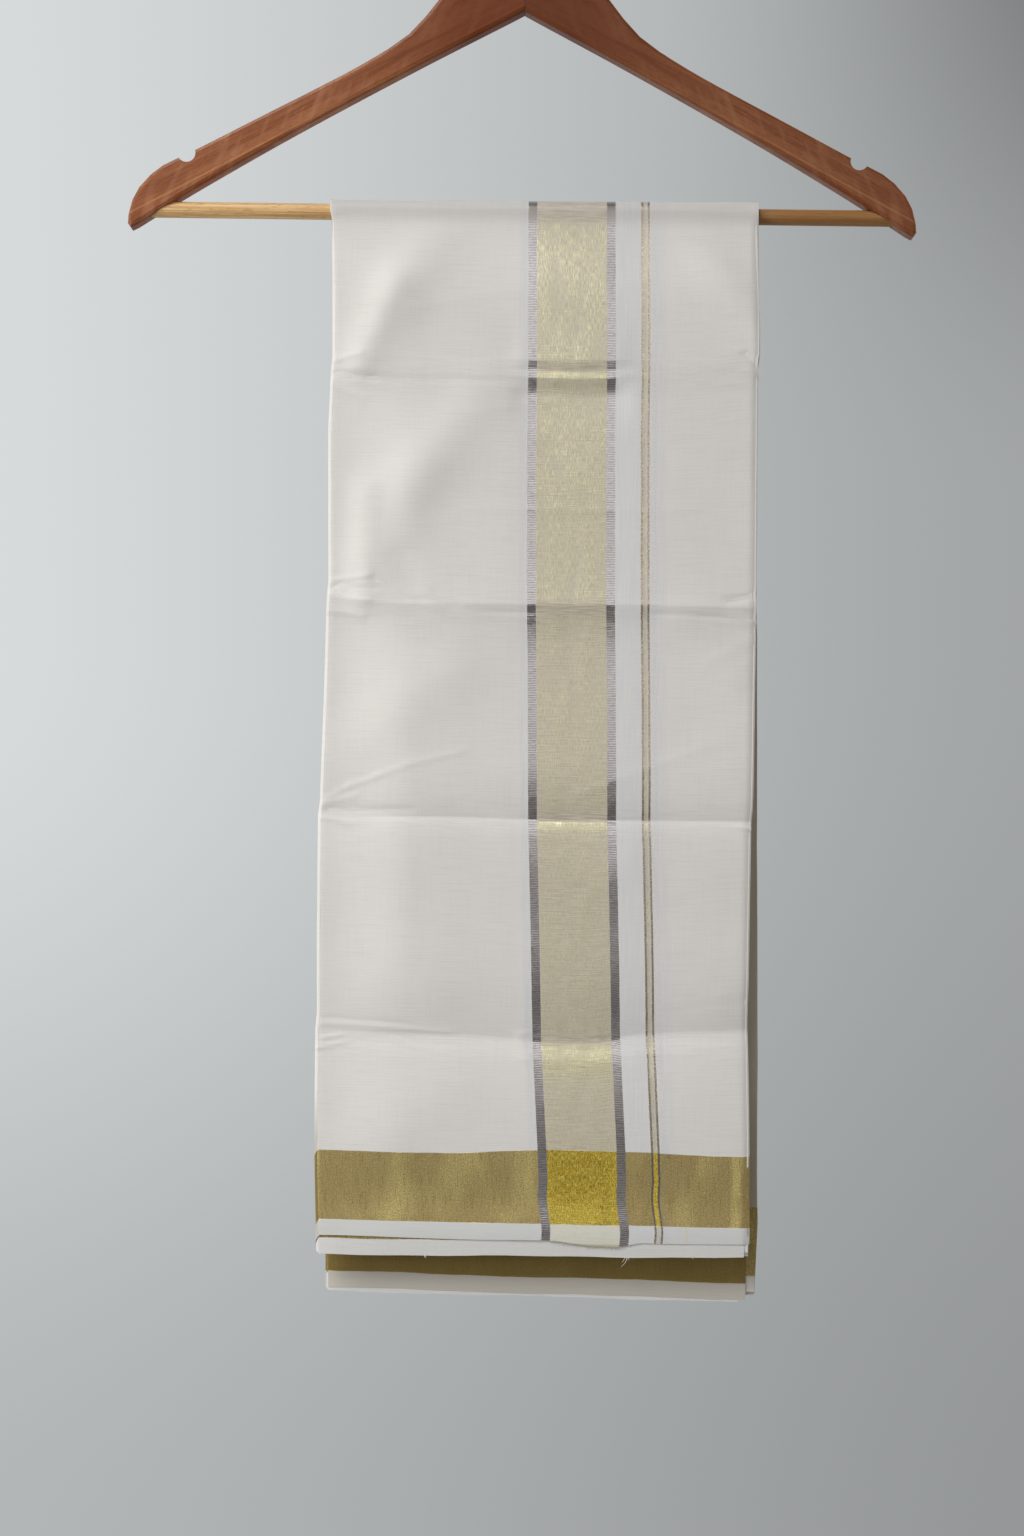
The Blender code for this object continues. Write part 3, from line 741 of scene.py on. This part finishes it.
def cotton_finish(name, with_band, painted_shade=0.0):
    """Plain-woven cotton with gold borders, and on the face leaf the end band and its stripe."""
    cloth = Finish(
        name, Roughness=0.5, Specular_IOR_Level=0.42, Sheen_Weight=0.06, Sheen_Roughness=0.4
    )
    woven, across, along, _ = cloth.attribute("woven")
    _, from_band, from_hem, x = cloth.attribute("banded")

    def threads(across_size, along_size, **look):
        """Noise along the cloth's own threads, different on each sheet."""
        return cloth.noise(woven, (across_size, along_size, 9), **look)

    slub = threads(26, 0.62, detail=3, roughness=0.65)
    warp_slub = threads(0.75, 30, roughness=0.6)
    cloud = threads(48, 70)
    thread = across.wave(WARP_PITCH) * along.wave(WEFT_PITCH)
    lines = slub.between(0.46, 0.7) * 0.6 + warp_slub.between(0.48, 0.72) * 0.3
    shade = lines * 0.8 + cloud.between(0.3, 0.7) * 0.2
    cloth.colour = cloth.mix(shade, COTTON, COTTON_SHADE)
    if with_band:
        # Painted shade: the wrap's round fold and inner leaf are darkened near the hems, where the
        # front fall shades them.
        painted_shade = from_band.between(NO_BAND / 2, NO_BAND - 50, 0.0, 0.8)
        painted_shade = painted_shade * from_hem.between(50, 90, 1.0, 0.0)
        cloth.lay(painted_shade, COTTON_PAINTED_SHADE)
    else:
        # Painted warm shade on the rear fall's page ends along the right edge, which lie in the
        # front fall's shadow.
        depth = cloth.millimetres()[2]
        behind = depth.between(-1.0, 1.0) * x.between(131.0, 135.0)
        cloth.lay(behind * 0.75, COTTON_PAINTED_WARM_SHADE)
    ground_relief = (thread - 0.25) * 0.02 + (slub - 0.5) * 0.11 + (warp_slub - 0.5) * 0.05

    grain = threads(0.5, 0.75, detail=3, roughness=0.75)
    wobble = threads(9, 9, detail=1)
    edge = from_hem + (wobble - 0.5) * 0.5
    border = edge.inside(BORDER_LOW, BORDER_HIGH, 0.5)
    swell = threads(24, 60)
    fleck = threads(0.75, 2.2, roughness=0.7)
    weft = threads(0.7, 14, roughness=0.7)
    # Random brighter patches and flecks in the border's metal, and on the face leaf painted
    # highlights along its curled right edge and its round left fold.
    glint_and_painted_edge_highlight = swell.between(0.42, 0.74) * 0.8 + fleck.between(0.5, 0.7) * 0.5
    if with_band:
        glint_and_painted_edge_highlight = glint_and_painted_edge_highlight + x.inside(125.5, 130.5, 3.0) * 0.9 + x.between(-109.2, -107.8, 0.8, 0.0)
    border_colour = cloth.mix(glint_and_painted_edge_highlight, BORDER_GOLD, BORDER_GLINT)
    # Random darker grain in the border, plus painted shade on the wrap's inner leaf near the hems
    # and on all the pages; the white hem line below the border is left out where that painted shade
    # lies.
    dark = grain.between(0.38, 0.58, 0.7, 0.0) + weft.between(0.5, 0.7) * 0.35
    border_colour = cloth.mix(dark + painted_shade, border_colour, BORDER_DARK)
    plain_hem = edge.between(BORDER_LOW - 0.6, BORDER_LOW, 0.8, 0.0) * (1 - 1.2 * painted_shade)
    cloth.lay(plain_hem, SELVEDGE)
    cloth.lay(border, border_colour)
    metallic = border * 0.5
    rough = 0.5 - border * 0.1
    raised = (grain - 0.5) * 0.06 + (swell - 0.5) * 0.9
    relief = ground_relief * (1 - border * 0.85) + border * raised

    if with_band:
        creased, painted_shade_on_metal, lit, on_bar = by_the_creases(cloth)
        band = from_band + (wobble - 0.5) * 0.35
        reach = abs(band)

        thin = band.inside(-BAND_HALF_WIDTH - 4.5, -BAND_HALF_WIDTH, 2.5)
        thin = thin + band.inside(BAND_HALF_WIDTH, STRIPE_START, 1.5)
        thin = thin + band.inside(STRIPE_END + 1, STRIPE_END + 9, 5.0) * 0.7
        thin = thin * (1 - border) * warp_slub.between(0.4, 0.62, 0.3, 0.85)
        cloth.lay(thin, COTTON_THIN)

        gold = reach.between(BAND_HALF_GOLD - 0.3, BAND_HALF_GOLD + 0.3, 1.0, 0.0)
        streak = threads(0.5, 4.2, detail=3, roughness=0.6)
        shimmer = threads(10, 26)
        # The gold's glint share: brighter metal threads at random, painted out as painted shade
        # near the creases, over the bar and low down, with a painted highlight added just below the
        # creases.
        glint = streak.between(0.4, 0.7) * (0.3 + 0.7 * shimmer.between(0.38, 0.6))
        glint = glint * (1 - painted_shade_on_metal * 0.9) + lit * (0.15 + 0.7 * streak)
        ribs = threads(13, 0.95, detail=1).between(0.38, 0.62)
        shade = grain.between(0.36, 0.6) * 0.5 + streak.between(0.54, 0.38) * 0.45
        tissue = cloth.mix(shade, GOLD_TISSUE, GOLD_GROUND)
        # Where the metal gets painted shade, the band shows beige with ribs.
        tissue = cloth.mix(painted_shade_on_metal * 0.8, tissue, cloth.mix(ribs, GOLD_BEIGE, GOLD_BEIGE_SHADE))
        tissue = cloth.mix(glint * 0.75, tissue, GOLD_GLINT)
        full = cloth.mix(grain.between(0.38, 0.55), FULL_GOLD_DARK, FULL_GOLD)
        full = cloth.mix(fleck.between(0.5, 0.6), full, FULL_GOLD_GLINT)
        # A painted glint on the crossing, stronger towards the hem.
        full = cloth.mix(edge.between(BORDER_LOW, 30, 0.35, 0.0) * grain, full, FULL_GOLD_GLINT)
        hem_strip = edge.between(BORDER_LOW - 0.4, BORDER_LOW, 1.0, 0.0)
        tissue = cloth.mix(hem_strip, tissue, HEM_CREAM)
        raw_edge = edge.between(-2.2, -0.6, 1.0, 0.0)
        tissue = cloth.mix(raw_edge * (0.5 + 0.5 * grain), tissue, RAW_EDGE)
        cloth.lay(gold, cloth.mix(border, tissue, full))
        gold_metal = (0.1 + 0.7 * glint) * (1 - hem_strip * 0.8) + border * 0.35
        metallic = metallic * (1 - gold) + gold * gold_metal
        rough = rough - gold * 0.12
        swelling = reach.between(4, BAND_HALF_GOLD - 1, 1.0, 0.0)
        relief = relief + gold * (ribs * 0.03 + (streak - 0.5) * 0.1)
        relief = relief + swelling * (shimmer - 0.5) * 0.5

        silver = reach.inside(BAND_HALF_GOLD, BAND_HALF_WIDTH, 0.5)
        rib = along.wave(SILVER_RIB)
        ribbed = rib.between(0.1, 0.55)
        uneven = threads(3.4, 0.9, roughness=0.7)
        # The silver is darker in the gaps between its ribs, and it gets painted shade over the bar.
        light = ribbed * uneven.between(0.34, 0.56, 0.5, 1.0) * (1 - on_bar * 0.85)
        cloth.lay(silver, cloth.mix(light, SILVER_GAP, SILVER))
        metallic = metallic * (1 - silver) + silver * 0.96
        rough = rough * (1 - silver) + silver * 0.3
        relief = relief * (1 - silver) + silver * ((rib - 0.5) * 0.03 + (uneven - 0.5) * 0.05)

        stripe = band.inside(STRIPE_START, STRIPE_END, 0.4)
        dotted = band.inside(STRIPE_START, STRIPE_START + STRIPE_RIM, 0.3)
        dotted = dotted + band.inside(STRIPE_END - STRIPE_RIM, STRIPE_END, 0.3)
        dots = threads(1.0, 0.5, detail=1).between(0.45, 0.58)
        stripe_colour = cloth.mix(border, tissue, full)
        stripe_colour = cloth.mix(dots * 0.4 * (1 - border), stripe_colour, GOLD_BEIGE_SHADE)
        yellow = band.between(STRIPE_START + 2, STRIPE_END - 1, 0.85, 0.3)
        cloth.lay(stripe * yellow.of("MAXIMUM", yellow, border), stripe_colour)
        # The stripe's dotted rims, with their pale dots painted out as painted shade over the bar.
        edge_colour = cloth.mix(dots * (1 - on_bar * 0.85), STRIPE_EDGE, STRIPE_DOT)
        cloth.lay(dotted, edge_colour)
        metallic = metallic * (1 - stripe) + stripe * (0.3 + 0.3 * border)
        metallic = metallic * (1 - dotted) + dotted * 0.95
        rough = rough - dotted * 0.12

        speckled = band.inside(STRIPE_END, STRIPE_END + 4, 1.2)
        speck = threads(0.7, 0.9, detail=1).between(0.5, 0.62)
        cloth.lay(speckled * speck * 0.3, STRIPE_SPECK)
        faint = band.inside(FAINT_LINE - 0.4, FAINT_LINE + 0.4, 0.4)
        faint = faint * from_hem.between(2, 60, 1.0, 0.0)
        cloth.lay(faint * 0.45, FAINT_GOLD)

        relief = relief + creased
        # Painted shade on the roll of cloth over the bar.
        cloth.lay(on_bar * 0.36, PAINTED_SHADE_ON_BAR)

    cloth.feed(Base_Color=cloth.colour, Metallic=metallic, Roughness=rough)
    cloth.raise_by(relief)
    return cloth.material


def by_the_creases(cloth):
    """The front fall's fine crumple, where its metal gets painted shade or a painted highlight, and
    its bend over the bar, which gets painted shade.
    """
    _, x, depth, height = cloth.millimetres()
    level = height + HOOK_ABOVE_BAR
    front = depth.between(-2.0, 0.0, 1.0, 0.0)
    crumple = cloth.noise(cloth.vector(x, level * 4.0 + x * 0.3, 0.0), (22, 22, 9))
    # Painted shade on the metal: over the bar, low down below the second crease, and beside each
    # crease.
    near, painted_shade_on_metal = 0.08, level.between(-9.0, -4.0) + level.between(-232.0, -222.0, 0.35, 0.0)
    for crease in CREASES_WITH_PAINTED_SHADE:
        beside = abs(level - crease)
        near = near + beside.between(3, 20, 0.8, 0.0)
        painted_shade_on_metal = painted_shade_on_metal + beside.between(2.5, 6.5, 0.8, 0.0)
    # Painted highlights in the spans just below the creases.
    high, middle, low = (level.inside(*span) for span in LIT_BELOW)
    lit = high + middle + low
    relief = front * near * (crumple - 0.5) * 0.4
    return relief, painted_shade_on_metal * (1 - lit), lit * front, level.between(-11.0, 0.0)


def make_cloth():
    """The wrap and the seven pairs of pages inside it."""
    face = cotton_finish("cotton_with_end_band", True)
    # The pages' borders and hems get painted shade.
    page = cotton_finish("cotton_page", False, painted_shade=0.3)
    fine_rows = strip_rows(3.4, 7.0, (0.45, 0.9, 1.5, 2.4), 14, CLOSE_ROWS)
    outer = shares(0.0, (0.006, 2), (0.03, 5), (0.86, 60), (1.0, 20))
    wrap = leaf_pair("cloth_wrap", 0, fine_rows, outer, 9, shares(0.0, (1.0, 12)))
    fit(wrap, face, "outer_fold")
    cream = thread_finish("frayed_band_thread", (0.66, 0.61, 0.46), (0.45, 0.4, 0.27))
    fray = thread_tubes("band_fray", frayed_paths(hem_reader(wrap, len(outer))), 0.16, cream)
    page_rows = strip_rows(8.0, 9.0, (0.9,), 10)
    page_shares = shares(0.0, (0.02, 2), (1.0, 20))
    for order in range(1, PAGE_PAIRS + 1):
        name, inner = f"cloth_pages_{order}", 1 - page_shares[::-1]
        pages = leaf_pair(name, order, page_rows, page_shares, 6, inner)
        fit(pages, page, "middle_leaves")
        extras = []
        if order == 1:
            white = thread_finish("loose_cotton_thread", (0.8, 0.79, 0.76), (0.66, 0.64, 0.6))
            loose = loose_paths(hem_reader(pages, len(page_shares)))
            extras = [thread_tubes("loose_threads", loose, 0.2, white)]


def fit(sheet, finish, solid):
    """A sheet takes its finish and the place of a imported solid."""
    sheet.data.materials.append(finish)
    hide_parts(solid)
    dress(sheet)


def hem_reader(sheet, columns):
    """A leaf's front hem: gives its depth and height in millimetres at an x."""
    line = np.array([sheet.data.vertices[k].co for k in range(columns)]) / MM
    line = line[np.argsort(line[:, 0])]
    return lambda x: (np.interp(x, line[:, 0], line[:, 1]), np.interp(x, line[:, 0], line[:, 2]))


def thread_path(hem, x, lean, reach, tucked, steps):
    """A thread's way down from where it is tucked in above a hem."""
    depth, top = hem(x)
    way = [(x + lean * aside, depth - out, top - reach * down) for aside, out, down in steps]
    return [(x, depth, top + tucked), *way]


def frayed_paths(hem):
    """Short cut ends under the face leaf's hem, where the end band's metal threads stop."""
    paths = []
    for k in range(FRAY_COUNT):
        x = FRAY_START + (FRAY_END - FRAY_START) * k / (FRAY_COUNT - 1) + 0.2 * math.sin(k * 2.4)
        reach = 0.6 + 0.6 * math.sin(k * 1.9) ** 2 + (1.3 if k % 29 == 17 else 0)
        paths.append(thread_path(hem, x, 0.45 * math.sin(k * 3.3), reach, 0.4, FRAY_STEPS))
    return paths


def loose_paths(hem):
    """A few longer threads that have worked loose from the second leaf's hem."""
    return [thread_path(hem, x, lean, reach, 1.0, LOOSE_STEPS) for x, lean, reach in LOOSE_THREADS]


def thread_tubes(name, paths, radius, finish):
    """Thin tubes along paths given in millimetres."""
    points, faces = [], []
    for path in paths:
        start = len(points)
        for k, (x, y, z) in enumerate(path):
            thin = radius * (1 - 0.4 * k / (len(path) - 1))
            for corner in range(4):
                turn = corner * math.pi / 2
                corner_x, corner_y = x + thin * math.cos(turn), y + thin * math.sin(turn)
                points.append((corner_x * MM, corner_y * MM, z * MM))
        for k in range(len(path) - 1):
            ring = start + 4 * k
            for corner in range(4):
                after = (corner + 1) % 4
                faces.append((ring + corner, ring + 4 + corner, ring + 4 + after, ring + after))
        last = start + 4 * (len(path) - 1)
        faces += [(start, start + 1, start + 2, start + 3), (last + 3, last + 2, last + 1, last)]
    mesh = bpy.data.meshes.new(name)
    mesh.from_pydata(points, [], faces)
    mesh.shade_smooth()
    mesh.materials.append(finish)
    tubes = add(name, mesh)
    dress(tubes)
    return tubes


def thread_finish(name, light, dark):
    """Twisted thread, paler and darker along its length."""
    thread = Finish(name, Roughness=0.6, Specular_IOR_Level=0.3)
    vector = thread.millimetres()[0]
    twist = thread.noise(vector, (0.8, 0.8, 0.5), detail=1)
    colour = thread.mix(twist.between(0.35, 0.65), light, dark)
    thread.feed(Base_Color=colour, Roughness=0.5 + 0.2 * twist)
    return thread.material


def dress(piece):
    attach(piece, "root")


def arm_wood(name, side, painted_falloff_shade):
    """Red-brown stained wood under lacquer, its grain running along one arm."""
    wood = Finish(
        name, Roughness=0.38, Coat_Weight=0.04, Coat_Roughness=0.2, Specular_IOR_Level=0.22
    )
    _, x, depth, height = wood.millimetres()
    slope = math.radians(28.2)
    out = x * side
    run = out * math.cos(slope) - height * math.sin(slope)
    rise = out * math.sin(slope) + height * math.cos(slope)
    grain_place = wood.vector(run, depth, rise)
    bands = wood.noise(grain_place, (120, 9, 5.5), distortion=0.2)
    streak = wood.noise(grain_place, (40, 3, 0.8), detail=3, roughness=0.6)
    pores = wood.noise(grain_place, (5.5, 0.5, 0.36), detail=1)
    figure = wood.noise(wood.vector(run + 1.1 * rise, depth, rise * 0.3), (8, 16, 6))
    patch = wood.noise(grain_place, (34, 30, 12), detail=1)
    wood.colour = wood.mix(bands.between(0.36, 0.62), (0.255, 0.075, 0.026), (0.38, 0.135, 0.055))
    wood.lay(streak.between(0.42, 0.66) * 0.55, (0.44, 0.175, 0.075))
    wood.lay(figure.between(0.46, 0.7) * 0.42, (0.54, 0.25, 0.13))
    # A painted highlight: a lighter line along the arm's lower edge.
    painted_highlight_low_edge = rise.inside(-84.8, -83.6, 0.8)
    wood.lay(painted_highlight_low_edge * 0.5, (0.66, 0.3, 0.12))
    upper = out.between(20, 115, 0.8, 0.0) + patch.between(0.5, 0.7) * 0.3
    wood.lay(upper, (0.16, 0.03, 0.004))
    dark_pore = pores.between(0.57, 0.66)
    wood.lay(dark_pore * 0.4, (0.1, 0.028, 0.011))
    # Painted shade darkens the right arm, which the light reaches less; the bands add a little
    # darker grain to both arms.
    wood.lay(painted_falloff_shade + 0.1 * bands, (0.1, 0.028, 0.009))
    wood.feed(Base_Color=wood.colour, Roughness=0.3 + 0.14 * streak + 0.1 * dark_pore)
    wood.raise_by(dark_pore * -0.012 + streak * 0.012)
    return wood.material


def bar_wood():
    """Pale straight-grained dowel with short brown flecks."""
    wood = Finish(
        "pale_dowel", Roughness=0.42, Coat_Weight=0.08, Coat_Roughness=0.3, Specular_IOR_Level=0.25
    )
    vector, x, *_ = wood.millimetres()
    streak = wood.noise(vector, (60, 1.1, 1.1), detail=3, roughness=0.6)
    fleck = wood.noise(vector, (5.5, 0.5, 0.5), detail=1)
    band = wood.noise(vector, (130, 4, 4))
    wood.colour = wood.mix(streak.between(0.36, 0.66), (0.64, 0.37, 0.15), (0.91, 0.63, 0.32))
    wood.lay(band.between(0.4, 0.7) * 0.45, (0.5, 0.29, 0.12))
    wood.lay(fleck.between(0.58, 0.7) * 0.45, (0.27, 0.12, 0.04))
    # Painted shade: the dowel darkens towards its right end, which the light reaches less.
    wood.lay(x.between(-110, 185, 0.0, 0.8), (0.25, 0.098, 0.02))
    wood.feed(Base_Color=wood.colour, Roughness=0.38 + 0.16 * streak)
    wood.raise_by(streak * 0.04 - fleck.between(0.58, 0.7) * 0.02)
    return wood.material


def hook_metal():
    """Bright plated wire with fine draw marks."""
    metal = Finish("plated_wire", Metallic=1.0, Roughness=0.2)
    vector = metal.millimetres()[0]
    wear = metal.noise(vector, (5, 5, 5), detail=3)
    marks = metal.noise(vector, (1.2, 0.25, 1.2))
    colour = metal.mix(wear.between(0.4, 0.7) * 0.5, (0.74, 0.73, 0.71), (0.6, 0.59, 0.57))
    metal.feed(Base_Color=colour, Roughness=0.14 + 0.14 * wear)
    metal.raise_by(marks * 0.004)
    return metal.material


def paint(node, material):
    """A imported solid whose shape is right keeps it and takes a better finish."""
    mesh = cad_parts[node].data
    mesh.materials.clear()
    mesh.materials.append(material)


def mitre_line():
    """The thin dark line of glue where the two arms meet, on both sides of the hook's shank."""
    outline = (
        (2.6, 114.9), (4.2, 115.0), (5.2, 115.7), (5.75, 117.2), (5.75, 147.4), (5.2, 148.8),
        (4.2, 149.4), (2.6, 149.6),
    )
    half_width = 0.14
    points, faces = [], []
    for side in (-1, 1):
        start, count = len(points), len(outline)
        for x in (-half_width, half_width):
            points += [tuple(place(x, side * depth, height)) for depth, height in outline]
        left = [start + k for k in range(count)]
        right = [start + count + k for k in range(count)]
        faces += [left[::side], right[::-side]]
        for k in range(count):
            after = (k + 1) % count
            faces.append((left[k], right[k], right[after], left[after])[::side])
    mesh = bpy.data.meshes.new("mitre_line")
    mesh.from_pydata(points, [], faces)
    glue = Finish("dark_glue", Roughness=0.45)
    stain = glue.noise(glue.millimetres()[0], (2, 2, 4)).between(0.35, 0.65)
    glue.feed(Base_Color=glue.mix(stain, (0.055, 0.018, 0.008), (0.1, 0.035, 0.015)))
    mesh.materials.append(glue.material)
    dress(add("mitre_line", mesh))


def make_hanger():
    mitre_line()
    paint("hanger_arm_left", arm_wood("stained_wood_left", -1, 0.0))
    # The right arm gets painted shade.
    paint("hanger_arm_right", arm_wood("stained_wood_right", 1, 0.34))
    paint("trouser_bar", bar_wood())
    paint("hook", hook_metal())


def make_floor():
    """A plain pale floor, well below the cloth."""
    radius, height = 1.0, -1.42
    corners = [
        (radius * math.cos(math.tau * k / 96), radius * math.sin(math.tau * k / 96), height)
        for k in range(96)
    ]
    mesh = bpy.data.meshes.new("floor")
    mesh.from_pydata(corners, [], [list(range(96))])
    paint_floor = Finish("pale_floor", Roughness=0.9)
    paint_floor.shader.inputs["Base Color"].default_value = (0.55, 0.56, 0.56, 1.0)
    mesh.materials.append(paint_floor.material)
    add("floor", mesh)


def make_world():
    """A pale room: brighter to the upper front, and lighter on the left behind the hanger."""
    world = bpy.data.worlds.new("studio")
    bpy.context.scene.world = world
    world.use_nodes = True
    room = Nodes(world.node_tree)
    background = world.node_tree.nodes["Background"]
    direction = room.node("TexCoord").outputs["Generated"]
    right, back, up = room.parts(direction)
    seen = Value(room, room.node("LightPath").outputs["Is Camera Ray"])
    front = back.between(-0.25, 0.25, 1.0, 0.0) * (1 - seen)
    window = up.between(0.0, 0.09) * up.between(0.34, 0.52, 1.0, 0.0)
    beside = abs(right).between(0.3, 0.7, 1.0, 0.0)
    side = right.between(-0.2, 0.6, 1.0, 0.7)
    aside = 0.4 * abs(right).between(0.7, 0.96)
    front_light = 0.045 + 1.05 * window * beside * side + aside
    low_wall = 0.66 + 0.16 * right.between(-0.3, 0.3)
    corner = 1 - 0.8 * right.between(0.05, 0.34) * up.between(0.12, 0.42)
    wall = right.between(-0.34, 0.3, 0.74, 0.37) * up.between(-0.34, 0.05, low_wall, 1.0) * corner
    level = front * front_light + (1 - front) * wall
    warm = room.mix(up.between(-0.05, 0.1), (1.0, 0.84, 0.72), (1.0, 0.985, 0.96))
    tint = room.mix(front, (0.955, 0.99, 1.0), warm)
    light = room.node("VectorMath", {0: tint, 3: level}, operation="SCALE")
    world.node_tree.links.new(light.outputs[0], background.inputs["Color"])
    background.inputs["Strength"].default_value = 1.0


def make_lamps():
    """A broad soft light from above, in front and to the left, and soft lamps at both sides."""
    sky = bpy.data.lights.new("high_soft_light", "SUN")
    sky.energy = 1.61
    sky.angle = math.radians(26)
    sky.color = (1.0, 0.99, 0.97)
    high = add("high_soft_light", sky)
    high.rotation_euler = Vector((0.42, 0.68, -0.88)).to_track_quat("-Z", "Y").to_euler()
    for name, place_of, watts in (
        ("soft_lamp", (-1.02, -0.68, -0.32), 6.9),
        ("side_lamp", (1.25, 0.4, 0.15), 11.0),
    ):
        lamp = bpy.data.lights.new(name, "AREA")
        lamp.shape = "RECTANGLE"
        lamp.size, lamp.size_y = 0.6, 0.7
        lamp.energy = watts
        lamp.color = (1.0, 0.985, 0.96)
        holder = add(name, lamp)
        holder.location = place_of
        aim = Vector((0.0, 0.0, -0.45)) - holder.location
        holder.rotation_euler = aim.to_track_quat("-Z", "Y").to_euler()
        holder.visible_camera = False


def make_camera():
    """Level with the middle of the cloth, and turned a little about its own axis."""
    camera = bpy.data.cameras.new("camera")
    camera.lens, camera.sensor_width = 50.0, 36.0
    holder = add("camera", camera)
    roll = math.radians(0.72)
    turn = Matrix.Rotation(math.pi / 2, 4, "X") @ Matrix.Rotation(roll, 4, "Z")
    holder.matrix_world = Matrix.Translation((-0.0019, -1.221, -0.529)) @ turn
    bpy.context.scene.camera = holder
    bpy.context.scene.view_settings.view_transform = "Standard"


make_camera()
make_world()
make_lamps()
make_floor()
make_cloth()
make_hanger()

bpy.context.view_layer.update()
